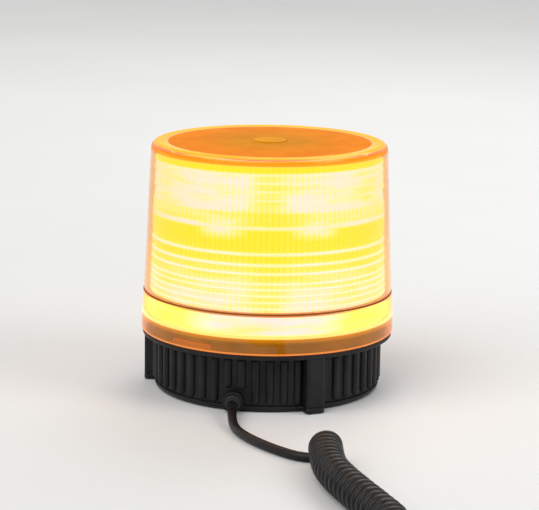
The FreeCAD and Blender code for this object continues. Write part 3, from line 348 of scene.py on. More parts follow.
# Finishes
class Finish:
    """Material whose nodes read the place on the piece in millimetres."""

    def __init__(self, name):
        self.mat = bpy.data.materials.new(name)
        self.mat.use_nodes = True
        self.nodes = self.mat.node_tree.nodes
        self.links = self.mat.node_tree.links
        self.shader = self.nodes["Principled BSDF"]
        coords = self.nodes.new("ShaderNodeTexCoord")
        scale = self.nodes.new("ShaderNodeVectorMath")
        scale.operation = "SCALE"
        scale.inputs["Scale"].default_value = 1.0 / MM
        self.links.new(coords.outputs["Object"], scale.inputs[0])
        self.place = scale.outputs["Vector"]
        split = self.nodes.new("ShaderNodeSeparateXYZ")
        self.links.new(self.place, split.inputs[0])
        self.x, self.y, self.z = split.outputs

    def put(self, socket, value):
        """Link another node's value to a socket, or set it to a plain one."""
        if isinstance(value, bpy.types.NodeSocket):
            self.links.new(value, socket)
        else:
            socket.default_value = value

    def math(self, operation, *values):
        """One step of arithmetic."""
        node = self.nodes.new("ShaderNodeMath")
        node.operation = operation
        for socket, value in zip(node.inputs, values):
            self.put(socket, value)
        return node.outputs[0]

    def product(self, first, *others):
        """All the values multiplied."""
        for other in others:
            first = self.math("MULTIPLY", first, other)
        return first

    def most(self, first, *others):
        """Largest of the values."""
        for other in others:
            first = self.math("MAXIMUM", first, other)
        return first

    def total(self, *shares):
        """Sum of (share, amount) pairs, each share times its amount."""
        total = 0.0
        for share, amount in shares:
            total = self.math("MULTIPLY_ADD", share, amount, total)
        return total

    def rest(self, share):
        """What a share leaves of one."""
        return self.math("SUBTRACT", 1.0, share)

    def radius(self):
        """Distance from the beacon's axis."""
        square = self.math("MULTIPLY", self.x, self.x)
        return self.math("SQRT", self.math("MULTIPLY_ADD", self.y, self.y, square))

    def azimuth(self):
        """Turn about the axis in radians, from the front."""
        return self.math("ARCTAN2", self.x, self.math("MULTIPLY", self.y, -1.0))

    def cell(self):
        """Degrees round from the middle of the nearest of three bright patches, up to sixty."""
        degrees = self.math("MULTIPLY", self.azimuth(), 180 / math.pi)
        return self.math("PINGPONG", degrees, 60.0)

    def rise(self, value, low, high, start=0.0, end=1.0):
        """Smooth step of a value from start at low to end at high."""
        node = self.nodes.new("ShaderNodeMapRange")
        node.interpolation_type = "SMOOTHSTEP"
        self.put(node.inputs["Value"], value)
        node.inputs["From Min"].default_value = low
        node.inputs["From Max"].default_value = high
        node.inputs["To Min"].default_value = start
        node.inputs["To Max"].default_value = end
        return node.outputs["Result"]

    def fall(self, value, low, high):
        """Smooth step of a value from one at low to nothing at high."""
        return self.rise(value, low, high, 1.0, 0.0)

    def band(self, value, low, high, soft):
        """One between two values, falling to nothing over a soft width on both sides."""
        up = self.rise(value, low - soft, low)
        return self.product(up, self.fall(value, high, high + soft))

    def noise(self, size, detail=3.0, stretch=(1.0, 1.0, 1.0)):
        """Cloudy value whose features are about size millimetres across."""
        mapping = self.nodes.new("ShaderNodeMapping")
        mapping.inputs["Scale"].default_value = stretch
        self.links.new(self.place, mapping.inputs["Vector"])
        node = self.nodes.new("ShaderNodeTexNoise")
        self.links.new(mapping.outputs[0], node.inputs["Vector"])
        node.inputs["Scale"].default_value = 1.0 / size
        node.inputs["Detail"].default_value = detail
        node.inputs["Roughness"].default_value = 0.55
        return node.outputs[0]

    def gloss(self, size, low, high, stretch=(1.0, 1.0, 1.0)):
        """Roughness that drifts between two values on a cloudy pattern."""
        return self.rise(self.noise(size, stretch=stretch), 0.3, 0.7, low, high)

    def mix(self, share, first, second):
        """First colour, with a share of the second."""
        node = self.nodes.new("ShaderNodeMix")
        node.data_type = "RGBA"
        self.put(node.inputs["Factor"], share)
        self.put(node.inputs[6], first)
        self.put(node.inputs[7], second)
        return node.outputs[2]

    def layered(self, colour, *layers):
        """Colour with each (share, colour) laid over it in turn."""
        for share, over in layers:
            colour = self.mix(share, colour, over)
        return colour

    def bump(self, height, depth):
        """Normal moved by a height from 0 to 1, depth millimetres deep."""
        node = self.nodes.new("ShaderNodeBump")
        node.inputs["Strength"].default_value = 1.0
        node.inputs["Distance"].default_value = depth * MM
        self.put(node.inputs["Height"], height)
        self.links.new(node.outputs[0], self.shader.inputs["Normal"])

    def set(self, **values):
        """Values of the shader's own sockets, with _ for the spaces in their names."""
        for name, value in values.items():
            self.put(self.shader.inputs[name.replace("_", " ")], value)


def rgb(red, green, blue):
    """Opaque colour from three linear values."""
    return (red, green, blue, 1.0)


def plain(name, colour, other, cloud, rough, grain=0.0, stretch=(1.0, 1.0, 1.0), **values):
    """Finish between two close colours on clouds, with its gloss on finer ones and a fine grain."""
    fine = 0.23              # size of the gloss pattern as a share of the clouds
    grain_size = 0.35
    f = Finish(name)
    share = f.rise(f.noise(cloud, stretch=stretch), 0.35, 0.65)
    f.set(Base_Color=f.mix(share, rgb(*colour), rgb(*other)),
          Roughness=f.gloss(cloud * fine, *rough, stretch))
    f.set(**values)
    if grain:
        f.bump(f.noise(grain_size, 2.0, stretch), grain)
    return f.mat


def amber_lens():
    """Clear amber plastic, deeper where light runs far in it.

    The top glows orange in clouds with painted light from the drum, brighter towards its edge.
    A painted shadow ring lies round the boss's foot, and the rim is painted yellow with light
    piped from the drum. Painted light from the drum fills the skirt, spills a little below it
    and runs on as a brown glow to the foot's bright lip. The neck is painted darker red-orange
    with a faint painted glow, the wall has a fainter one, and a painted shadow line runs along
    the step.
    """
    f = Finish("amber_lens")
    r = f.radius()
    crown = f.rise(f.z, 122.7, 123.2)
    # Painted light from the drum: the field glows in clouds and the rim is painted yellow
    field = f.product(crown, f.fall(r, 50.0, 51.6))
    rim = f.product(crown, f.rise(r, 50.0, 51.6))
    # The neck is painted darker red-orange with a faint glow; the wall has a fainter painted glow
    neck = f.product(f.band(f.z, 120.2, 122.3, 0.5), f.rise(r, 56.7, 57.2))
    wall = f.band(f.z, 40.5, 119.0, 1.0)
    # Painted shadow line along the step, where the drum's flange meets the lens's ledge; no glow
    step = f.product(f.band(f.z, 49.3, 50.0, 0.25), f.rise(r, 61.4, 61.7))
    skirt = f.product(f.band(f.z, 41.0, 47.6, 1.2), f.rise(f.cell(), 20.0, 44.0))
    spill = f.product(f.band(f.z, 38.1, 39.8, 0.4), f.rise(r, 61.2, 61.6))
    foot = f.fall(f.z, 39.0, 40.2)
    foot_top = f.product(foot, f.rise(f.z, 35.0, 37.4))
    lip = f.product(f.fall(f.z, 30.5, 31.2), f.rise(r, 61.6, 62.2))
    cloud = f.noise(16.0)

    # Top: painted light makes it brighter towards the edge; painted shadow rings the boss's foot
    top = f.layered(rgb(0.36, 0.12, 0.0),
                    (f.rise(r, 8.0, 44.0), rgb(0.58, 0.12, 0.0)),
                    (f.band(r, 8.3, 8.7, 0.3), rgb(0.22, 0.06, 0.0)),
                    (f.rise(f.z, 124.05, 124.25), rgb(0.50, 0.21, 0.006)))
    colour = f.layered(rgb(1.0, 0.98, 0.93),
                       (foot, rgb(0.80, 0.42, 0.02)),
                       (neck, rgb(0.95, 0.30, 0.002)),
                       (rim, rgb(1.0, 0.45, 0.012)),
                       (field, top),
                       (step, rgb(0.33, 0.085, 0.001)))
    glow = f.layered(rgb(1.0, 0.40, 0.01),
                     (lip, rgb(1.0, 0.27, 0.05)),
                     (spill, rgb(1.0, 0.62, 0.17)),
                     (rim, rgb(1.0, 0.60, 0.01)),
                     (skirt, rgb(1.0, 0.55, 0.02)))
    strength = f.total((foot, f.rise(cloud, 0.25, 0.75, 0.06, 0.11)),
                       (foot_top, 0.2), (wall, 0.07), (skirt, 0.32), (lip, 0.6), (spill, 0.9),
                       (rim, 0.35), (neck, 0.2),
                       (field, f.rise(cloud, 0.25, 0.75, 0.28, 0.40)))
    solid = f.most(*[f.product(zone, share) for zone, share in (
        (field, 0.9), (rim, 0.6), (neck, 0.55), (foot, 0.12), (step, 0.95))])
    f.set(Base_Color=colour, IOR=1.49, Specular_IOR_Level=0.0, Roughness=f.gloss(9.0, 0.02, 0.07),
          Transmission_Weight=f.rest(solid), Emission_Color=glow,
          Emission_Strength=f.product(strength, f.rest(step)))
    body = f.nodes.new("ShaderNodeVolumeAbsorption")
    body.inputs["Color"].default_value = rgb(1.0, 0.765, 0.0)
    body.inputs["Density"].default_value = 400.0
    f.links.new(body.outputs[0], f.nodes["Material Output"].inputs["Volume"])
    return f.mat


def lit_lens():
    """Lens drum glowing with the flash: yellow, with white edges, patches and upright flutes."""
    f = Finish("lit_lens")
    cell = f.cell()
    drum = f.rise(f.z, 49.6, 50.2)
    flute = f.product(drum, f.math("SINE", f.product(f.azimuth(), float(flute_count))))

    halves = [(ring, 0.2) for ring in rings_below + rings_above] + [(focus_ring, 0.4)]
    edges = f.most(0.0, *[f.band(f.z, ring - half, ring + half, 1.1) for ring, half in halves])
    edges = f.product(edges, f.rise(cell, 0.0, 24.0, 0.72, 0.95))
    focus = f.product(f.band(f.z, 90.2, 91.6, 0.9), f.rise(cell, 12.0, 40.0))
    edges = f.most(edges, focus)

    upper = f.product(f.band(f.z, 98.0, 114.8, 1.6), f.rise(cell, 2.0, 14.0, 0.35, 1.0),
                      f.rise(cell, 44.0, 60.0, 1.0, 0.8))
    middle = f.product(f.band(f.z, 91.0, 99.0, 3.0), f.rise(cell, 3.0, 22.0, 0.14, 0.55))
    lobe = f.product(f.band(cell, 21.0, 25.0, 14.0), f.band(f.z, 89.0, 92.0, 6.0))
    lower = f.product(f.rise(f.z, 51.0, 79.0, 0.95, 0.08), f.fall(f.z, 80.0, 83.0),
                      f.rise(cell, 2.0, 14.0, 0.4, 1.0), f.rise(cell, 44.0, 60.0, 1.0, 0.6))
    skirt = f.rise(cell, 24.0, 44.0, 0.95, 0.32)
    lower = f.total((drum, lower), (f.rest(drum), skirt))

    streak = f.noise(9.0, 3.0, (0.35, 0.35, 2.2))
    white = f.most(upper, middle, f.product(lobe, 0.9), lower)
    white = f.product(white, f.rise(streak, 0.28, 0.62, 0.5, 1.1))
    depth = f.math("MULTIPLY_ADD", white, 0.1, 0.09)
    white = f.total((white, 0.94), (flute, depth))
    white = f.most(white, f.product(edges, f.rise(streak, 0.25, 0.6, 0.75, 1.0)), 0.0)
    white = f.math("MINIMUM", white, 1.0)

    # Painted shadow line darkens the glow along the drum's flange
    flange = f.band(f.z, 48.3, 49.75, 0.25)
    glow = f.layered(rgb(1.0, 0.87, 0.006), (white, rgb(0.62, 0.49, 1.0)),
                     (flange, rgb(0.22, 0.045, 0.0)))
    f.set(Base_Color=f.mix(white, rgb(0.22, 0.16, 0.002), rgb(0.26, 0.23, 0.15)),
          Specular_IOR_Level=0.3, IOR=1.49, Roughness=f.gloss(3.0, 0.2, 0.34),
          Emission_Color=glow, Emission_Strength=f.math("MULTIPLY_ADD", white, 0.87, 1.08))
    return f.mat


plain_looks = {
    "black_housing": dict(
        colour=(0.006, 0.006, 0.007), other=(0.012, 0.012, 0.013), cloud=14.0, rough=(0.38, 0.50),
        grain=0.015, Specular_IOR_Level=0.25),
    "black_rubber": dict(
        colour=(0.007, 0.007, 0.007), other=(0.013, 0.013, 0.012), cloud=6.0, rough=(0.5, 0.66),
        grain=0.02, Specular_IOR_Level=0.35),
    "black_cord": dict(
        colour=(0.006, 0.005, 0.005), other=(0.012, 0.010, 0.010), cloud=8.0, rough=(0.32, 0.44),
        grain=0.008, Specular_IOR_Level=0.25),
    "plated_steel": dict(
        colour=(0.62, 0.61, 0.58), other=(0.74, 0.73, 0.70), cloud=3.0, rough=(0.22, 0.38),
        Metallic=1.0),
    "ferrite": dict(
        colour=(0.045, 0.044, 0.046), other=(0.075, 0.073, 0.074), cloud=2.0, rough=(0.5, 0.7),
        grain=0.04),
    "white_plastic": dict(
        colour=(0.78, 0.77, 0.73), other=(0.85, 0.84, 0.80), cloud=18.0, rough=(0.3, 0.42)),
    "clear_glass": dict(
        colour=(0.93, 0.95, 0.95), other=(0.98, 0.99, 0.99), cloud=9.0, rough=(0.0, 0.04),
        Transmission_Weight=1.0, IOR=1.47),
    "circuit_board": dict(
        colour=(0.015, 0.12, 0.045), other=(0.02, 0.17, 0.06), cloud=4.0, rough=(0.3, 0.45)),
    "copper_winding": dict(
        colour=(0.62, 0.22, 0.07), other=(0.78, 0.32, 0.12), cloud=0.9, rough=(0.25, 0.4),
        grain=0.05, stretch=(0.2, 0.2, 4.0), Metallic=1.0),
    "capacitor_sleeve": dict(
        colour=(0.02, 0.05, 0.16), other=(0.03, 0.07, 0.21), cloud=6.0, rough=(0.25, 0.35)),
    "black_package": dict(
        colour=(0.016, 0.016, 0.017), other=(0.03, 0.03, 0.031), cloud=3.0, rough=(0.4, 0.55),
        grain=0.02),
    "bare_aluminium": dict(
        colour=(0.70, 0.71, 0.72), other=(0.80, 0.81, 0.82), cloud=2.0, rough=(0.3, 0.45),
        stretch=(6.0, 0.3, 0.3), Metallic=1.0),
    "film_case": dict(
        colour=(0.60, 0.45, 0.08), other=(0.68, 0.53, 0.12), cloud=3.0, rough=(0.25, 0.4)),
    "resistor_coat": dict(
        colour=(0.55, 0.42, 0.24), other=(0.63, 0.50, 0.31), cloud=1.5, rough=(0.4, 0.55)),
    "wire_sheath": dict(
        colour=(0.35, 0.03, 0.02), other=(0.45, 0.05, 0.03), cloud=2.0, rough=(0.35, 0.5)),
    "plug_plastic": dict(
        colour=(0.015, 0.015, 0.016), other=(0.026, 0.026, 0.028), cloud=7.0, rough=(0.36, 0.5),
        grain=0.025),
    "plug_brass": dict(
        colour=(0.71, 0.68, 0.61), other=(0.78, 0.76, 0.70), cloud=2.0, rough=(0.16, 0.28),
        Metallic=1.0),
    "red_rocker": dict(
        colour=(0.45, 0.02, 0.015), other=(0.58, 0.03, 0.02), cloud=3.0, rough=(0.25, 0.38)),
}
finishes = {name: plain(name, **look) for name, look in plain_looks.items()}
finishes["amber_lens"] = amber_lens()
finishes["lit_lens"] = lit_lens()


# Camera, floor and light
def placed(axes, place):
    """Matrix from three axes, as columns, and a place."""
    turn = np.eye(4)
    turn[:3, :3] = np.stack(axes, axis=1)
    turn[:3, 3] = place
    return Matrix(turn.tolist())


def photo_camera():
    """Camera at the photo's place: aimed by yaw and pitch, then rolled about its line of sight."""
    pitch, yaw, roll = np.radians(camera_turn)
    level = np.array([math.cos(yaw), -math.sin(yaw), 0.0])
    ahead = np.array([math.sin(yaw) * math.cos(pitch), math.cos(yaw) * math.cos(pitch),
                      -math.sin(pitch)])
    upright = np.cross(level, ahead)
    right = level * math.cos(roll) + upright * math.sin(roll)
    up = upright * math.cos(roll) - level * math.sin(roll)
    data = bpy.data.cameras.new("photo_camera")
    data.sensor_width = film_width
    data.lens = photo_focus / photo_width * film_width
    data.clip_end = camera_reach
    camera = bpy.data.objects.new("photo_camera", data)
    camera.matrix_world = placed([right, up, -ahead], camera_place)
    bpy.context.scene.collection.objects.link(camera)
    bpy.context.scene.camera = camera


def floor():
    """Square sheet under the beacon: a grid of x and y at height nought."""
    line = np.linspace(-floor_half, floor_half, 3)
    x, y = np.meshgrid(line, line)
    points, quads = skin(np.stack([x, y, np.zeros_like(x)], axis=-1))
    mesh = bpy.data.meshes.new("floor")
    mesh.from_pydata(points.tolist(), [], quads[:, ::-1].tolist())
    mesh.materials.append(plain("floor_paper", (0.83, 0.83, 0.82), (0.85, 0.85, 0.84),
                                cloud=400.0, rough=(0.75, 0.85)))
    obj = bpy.data.objects.new("floor", mesh)
    bpy.context.scene.collection.objects.link(obj)


def light(name, kind, place, **settings):
    """Light of a kind at a place, with its back away from the beacon."""
    back = np.array(place) - np.array(light_aim)
    back /= np.linalg.norm(back)
    side = np.cross((0.0, 0.0, 1.0), back)
    side /= np.linalg.norm(side)
    data = bpy.data.lights.new(name, kind)
    for setting, value in settings.items():
        setattr(data, setting, value)
    obj = bpy.data.objects.new(name, data)
    obj.matrix_world = placed([side, np.cross(back, side), back], place)
    bpy.context.scene.collection.objects.link(obj)


def studio():
    """Even pale surroundings, brighter where they are seen, a broad light and two soft lamps."""
    world = bpy.data.worlds.new("studio")
    world.use_nodes = True
    nodes = world.node_tree.nodes
    links = world.node_tree.links
    sky = nodes["Background"]
    sky.inputs["Color"].default_value = rgb(1.0, 1.0, 1.0)
    path = nodes.new("ShaderNodeLightPath")
    seen = path.outputs["Is Camera Ray"]
    for kind in ("Is Glossy Ray", "Is Transmission Ray"):
        either = nodes.new("ShaderNodeMath")
        either.operation = "MAXIMUM"
        links.new(seen, either.inputs[0])
        links.new(path.outputs[kind], either.inputs[1])
        seen = either.outputs[0]
    level = nodes.new("ShaderNodeMapRange")
    level.inputs["To Min"].default_value = sky_light
    level.inputs["To Max"].default_value = sky_seen
    links.new(seen, level.inputs["Value"])
    links.new(level.outputs["Result"], sky.inputs["Strength"])
    bpy.context.scene.world = world
    bpy.context.scene.view_settings.view_transform = "Standard"
    light("key_light", "SUN", (-0.9, -0.9, 1.6), energy=1.35, angle=math.radians(55.0))
    light("fill_lamp", "AREA", (1.3, -0.6, 1.1), energy=9.0, size=0.9)
    light("back_lamp", "AREA", (0.3, 1.1, 1.3), energy=7.0, size=0.9)


# Cord
def nurbs(name, points):
    """Curve object with one NURBS spline through control points in millimetres."""
    curve = bpy.data.curves.new(name, "CURVE")
    curve.dimensions = "3D"
    spline = curve.splines.new("NURBS")
    spline.points.add(len(points) - 1)
    flat = np.concatenate([np.asarray(points) * MM, np.ones((len(points), 1))], axis=1)
    spline.points.foreach_set("co", flat.ravel())
    spline.order_u = 3
    spline.use_endpoint_u = True
    return bpy.data.objects.new(name, curve)


def curve_points(obj):
    """Points along a bare curve, in millimetres. The curve is used up."""
    bpy.context.scene.collection.objects.link(obj)
    obj.data.splines[0].resolution_u = measure_steps
    bpy.context.view_layer.update()
    evaluated = obj.evaluated_get(bpy.context.evaluated_depsgraph_get())
    mesh = bpy.data.meshes.new_from_object(evaluated)
    flat = np.empty(len(mesh.vertices) * 3)
    mesh.vertices.foreach_get("co", flat)
    bpy.data.meshes.remove(mesh)
    curve = obj.data
    bpy.data.objects.remove(obj)
    bpy.data.curves.remove(curve)
    return flat.reshape(-1, 3) / MM


def lengths(points):
    """Length of each step along a line of points."""
    return np.linalg.norm(np.diff(points, axis=0), axis=1)


def curl():
    """Helix about the curl's line: centre + r (cos a across + sin a up), a turn to each pitch."""
    height = cord_radius + curl_radius + curl_lift
    axis = curve_points(nurbs("curl_line", [(x, y, height) for x, y in curl_route]))
    run = np.concatenate([[0.0], np.cumsum(lengths(axis))])
    length = run[-1] - curl_end_gap
    turns = round(length / curl_pitch)
    share = np.linspace(0.0, 1.0, turns * curl_points + 1)
    centre = np.stack([np.interp(length * share, run, axis[:, k]) for k in range(3)], axis=1)
    ahead = np.gradient(centre, axis=0)
    ahead /= np.linalg.norm(ahead, axis=1)[:, None]
    across = np.stack([ahead[:, 1], -ahead[:, 0], np.zeros(len(share))], axis=1)
    up = np.array([0.0, 0.0, 1.0])
    angle = (-math.pi / 2 - 2 * math.pi * turns * share)[:, None]
    reach = curl_radius / math.cos(math.pi / curl_points)
    return centre + reach * (np.cos(angle) * across + np.sin(angle) * up)


def cord(end_pieces):
    """Round section carried along one spline: the lead, the curl's helix and the tail."""
    points = np.concatenate([np.array(lead_route), curl(), np.array(tail_route)])
    total = float(lengths(curve_points(nurbs("cord_line", points))).sum())
    obj = nurbs("power_cord", points)
    obj.data.bevel_depth = cord_radius * MM
    obj.data.bevel_resolution = cord_round
    obj.data.splines[0].resolution_u = cord_steps
    obj.data.use_fill_caps = True
    obj.data.materials.append(finishes["black_cord"])
    bpy.context.scene.collection.objects.link(obj)
    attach(obj, "base")
    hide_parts("cord_lead", "cord_coil", "cord_tail")


# Plug
def strain_relief():
    """Ringed sleeve about the cord, each ring wider than the last, with a flange in the shells."""
    pitch = boot_length / boot_rings
    steps = [(0.0, 0.0), (cord_radius, 0.0), (cord_radius, -boot_length),
             (boot_tip, -boot_length, 0.5)]
    for k in range(boot_rings):
        low = -boot_length + k * pitch
        root = boot_root + boot_growth * k
        steps += [(root + boot_ring_rise, low + 0.3 * pitch, 0.6),
                  (root + boot_ring_rise, low + 0.7 * pitch, 0.6), (root, low + pitch, 0.5)]
    steps += [(boot_neck, boot_flange_back), (boot_flange, boot_flange_back, 0.3),
              (boot_flange, boot_flange_front, 0.3), (0.0, boot_flange_front)]
    return piece("strain_relief", "base", "black_rubber", [about_plug(softened(steps))],
                 ["plug_boot"])


def nose_cap():
    """Cap with round edges, a spigot inside the shells and a hole for the tip, turned about x."""
    front = shells_length + cap_length
    steps = [(cap_inside, cap_seat), (cap_inside, cap_spigot_back, 0.2),
             (cap_spigot, cap_spigot_back, 0.2), (cap_spigot, shells_length),
             (cap_radius, shells_length, 0.2), (cap_radius, shells_length + cap_length / 2, 1.4),
             (cap_face, front, 0.8), (cap_hole, front, 0.3), (cap_hole, cap_seat)]
    return piece("nose_cap", "base", "plug_plastic", [about_plug(softened(steps), closed=True)],
                 ["plug_nose_cap"])


def contact_tip():
    """Tip with a flange behind the cap, a stem and a half-round end, turned about x."""
    end = shells_length + tip_length
    slope = np.radians(np.linspace(0, 90, 13))
    dome = np.stack([tip_radius * np.cos(slope),
                     end - tip_radius + tip_radius * np.sin(slope)], axis=1)
    stem = softened(((0.0, tip_flange_back), (tip_flange, tip_flange_back, 0.2),
                     (tip_flange, tip_flange_front, 0.2), (tip_radius, tip_flange_front, 0.2),
                     (tip_radius, end - tip_radius)))
    return piece("contact_tip", "tip", "plug_brass",
                 [about_plug(np.concatenate([stem[:-1], dome]))], ["plug_tip"])


def fuse_spring():
    """Round wire carried along a helix with flat end turns, for the spring that the tip presses."""
    turn = np.linspace(0.0, spring_turns, spring_turns * spring_steps + 1)
    foot = fuse_back - spring_length + spring_wire
    reach = spring_length - 2 * spring_wire
    flat = 2 * spring_wire
    along = foot + np.interp(turn, (0.0, 1.0, spring_turns - 1.0, spring_turns),
                             (0.0, flat, reach - flat, reach))
    angle = (2 * math.pi * turn)[:, None]
    section = full_turn(wire_steps)[None]
    r = spring_radius + spring_wire * np.cos(section)
    x = plug_back + along[:, None] + spring_wire * np.sin(section)
    wire = np.stack([x, plug_y + r * np.cos(angle), plug_z + r * np.sin(angle)], axis=-1)
    first, last = (np.broadcast_to(wire[k].mean(axis=0), (1,) + wire.shape[1:]) for k in (0, -1))
    obj = piece("fuse_coil_spring", "base", "plated_steel",
                [skin(np.concatenate([first, wire, last]), around=True)], ["fuse_spring"])
    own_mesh(obj)
    return obj


def plug():
    """Every piece on the cord's end."""
    made = [strain_relief(), nose_cap(), contact_tip(), fuse_spring()]
    made += [smoothed(node, name, body) for node, name, body in (
        ("plug_upper_shell", "upper_shell", "base"), ("plug_lower_shell", "lower_shell", "base"),
        ("side_contact_left", "left_spring_contact", "left_contact"),
        ("side_contact_right", "right_spring_contact", "right_contact"))]
    kept = ("plug_screws", "fuse_glass", "fuse_caps", "fuse_sleeve", "switch_case",
            "switch_rocker")
    return made + [frame["nodes"][name] for name in kept]


# Base
def turned_out(out, across, turn):
    """Grid of x and y from distances out along an azimuth and across it."""
    return (out * np.sin(turn) + across * np.cos(turn),
            -out * np.cos(turn) + across * np.sin(turn))


def apart(azimuths, middle):
    """Degrees between azimuths and a middle one, the short way round."""
    return np.abs((azimuths - middle + 180.0) % 360.0 - 180.0)


def ribs():
    """Upright half-round ribs: a circle about a line, closed by ball ends; short over the boss."""
    azimuths = tower_azimuths[0] + 360.0 * np.arange(rib_count) / rib_count
    free = np.min([apart(azimuths, a) for a in tower_azimuths], axis=0) > tower_clear
    cord_azimuth = math.degrees(math.asin(exit_point[0] / wall_radius))
    over = apart(azimuths, cord_azimuth) < boss_clear
    foot = np.where(over, exit_point[2] + boss_rise, rib_low)[free][:, None, None]
    turns = np.radians(azimuths[free])[:, None, None]
    rows = 12                # in each ball end
    slope = np.radians(np.concatenate([np.linspace(-90, 0, rows), np.linspace(0, 90, rows)]))
    slope = slope[None, :, None]
    upper = np.where(np.arange(2 * rows) < rows, 0.0, 1.0)[None, :, None]
    side = np.radians(np.linspace(-rib_flank, rib_flank, 13))[None, None, :]
    z = (foot + rib_end) * (1 - upper) + (rib_high - rib_end) * upper + rib_end * np.sin(slope)
    out = wall_radius + rib_rise - rib_radius + rib_radius * np.cos(slope) * np.cos(side)
    x, y = turned_out(out, rib_radius * np.cos(slope) * np.sin(side), turns)
    return [skin(rib) for rib in np.stack([x, y, np.broadcast_to(z, x.shape)], axis=-1)]


def tower(azimuth):
    """Square column with round corners: its plan carried upright, drawn in a little at its foot."""
    half = tower_width / 2
    plan = softened(((tower_root, -half), (tower_reach, -half, tower_corner),
                     (tower_reach, half, tower_corner), (tower_root, half)), 8)
    rows = np.array([(tower_edge, plate_top), (0.0, plate_top + tower_edge), (0.0, shoulder_under)])
    drawn_in = rows[:, 0][:, None]
    out = plan[:, 0][None] - drawn_in
    across = plan[:, 1][None] * (1 - drawn_in / half)
    x, y = turned_out(out, across, math.radians(azimuth))
    return skin(np.stack([x, y, rows_of(rows, 1, len(plan))], axis=-1))


def exit_boss():
    """Round boss about the cord: its outline turned about the cord's axis, above the plate only."""
    outline = softened(((boss_radius, -50.0), (boss_radius, boss_front, 0.6),
                        (boss_bore, boss_front), (boss_bore, -56.0)), 5)
    r = outline[:, 0][:, None]
    start = -np.arcsin(np.minimum(1.0, (exit_point[2] - plate_top) / r))
    turn = start + (math.pi - 2 * start) * np.linspace(0, 1, 33)[None]
    x = exit_point[0] + r * np.cos(turn)
    z = exit_point[2] + r * np.sin(turn)
    return skin(np.stack([x, rows_of(outline, 1, turn.shape[1]), z], axis=-1))


def base_housing():
    """Wall, shoulder and collar turned about the axis, with boss, ribs, towers and bayonet lugs."""
    shell = softened(((wall_bore, plate_top), (wall_radius, plate_top, 0.2),
                      (wall_radius, shoulder_under, 0.4), (shoulder_radius, shoulder_under, 0.35),
                      (shoulder_radius, shoulder_top, 0.35), (collar_radius, shoulder_top, 0.3),
                      (collar_radius, collar_top, 0.5), (collar_bore, collar_top, 0.5),
                      (collar_bore, deck_seat, 0.1), (wall_bore, deck_seat, 0.2)), 4)
    skins = [spun(shell, base_steps, closed=True), exit_boss()]
    skins += ribs()
    skins += [tower(a) for a in tower_azimuths]
    for a in bayonet_azimuths:
        skins.append(block_ring(lug_inside, lug_outside, lug_low, lug_high,
                                a - stop_first, a + bayonet_half))
        skins.append(block_ring(lug_inside, lug_outside, stop_low, lug_low,
                                a - stop_first, a - stop_last, 4))
    piece("base_shell", "base", "black_housing", skins, ["base_housing"])


# Screws of the foot
def within(value, edge, slope):
    """One where a value is under an edge, falling to nothing over a slope about it."""
    return np.clip((edge - value) / slope + 0.5, 0.0, 1.0)


def cross_screw(outline, middle, arm, half, depth):
    """Outline turned about an upright line, its lower face pressed in along a cross.

    The cross is where |x| < half and |y| < arm, or the other way round.
    """
    rings = np.linspace(0.0, outline[0, 0], 25)[:-1]
    face = np.stack([rings, np.full(len(rings), outline[0, 1])], axis=1)
    points = around_axis(np.concatenate([face, outline]), full_turn(screw_steps))
    x, y = np.abs(points[: len(rings), :, 0]), np.abs(points[: len(rings), :, 1])
    slope = half / 2
    cross = np.maximum(within(x, half, slope) * within(y, arm, slope),
                       within(y, half, slope) * within(x, arm, slope))
    points[: len(rings), :, 2] += depth * cross
    return skin(points + np.array((*middle, 0.0)), around=True)


def foot_screws():
    """Three screws up into the towers, and the bolt that holds the magnet."""
    pan = softened(((screw_head_radius - 0.2, screw_foot),
                    (screw_head_radius, screw_foot + 0.2, 0.2),
                    (screw_head_radius, screw_head_top), (screw_radius, screw_head_top),
                    (screw_radius, screw_end - 0.2, 0.4), (screw_radius - 0.4, screw_end),
                    (0.0, screw_end)), 4)
    turns = np.radians(tower_azimuths)
    places = np.stack([screw_circle * np.sin(turns), -screw_circle * np.cos(turns)], axis=1)
    piece("plate_cross_screws", "base", "plated_steel",
          [cross_screw(pan, at, arm=1.7, half=0.42, depth=0.9) for at in places],
          ["plate_screws"])
    sunk = softened(((bolt_head_radius - 0.2, bolt_foot), (bolt_head_radius, bolt_foot + 0.1, 0.1),
                     (bolt_radius, bolt_head_top, 0.3), (bolt_radius, bolt_end - 0.4),
                     (bolt_radius - 0.4, bolt_end), (0.0, bolt_end)), 4)
    piece("magnet_cross_bolt", "base", "plated_steel",
          [cross_screw(sunk, (0.0, 0.0), arm=3.2, half=0.75, depth=1.5)], ["magnet_bolt"])


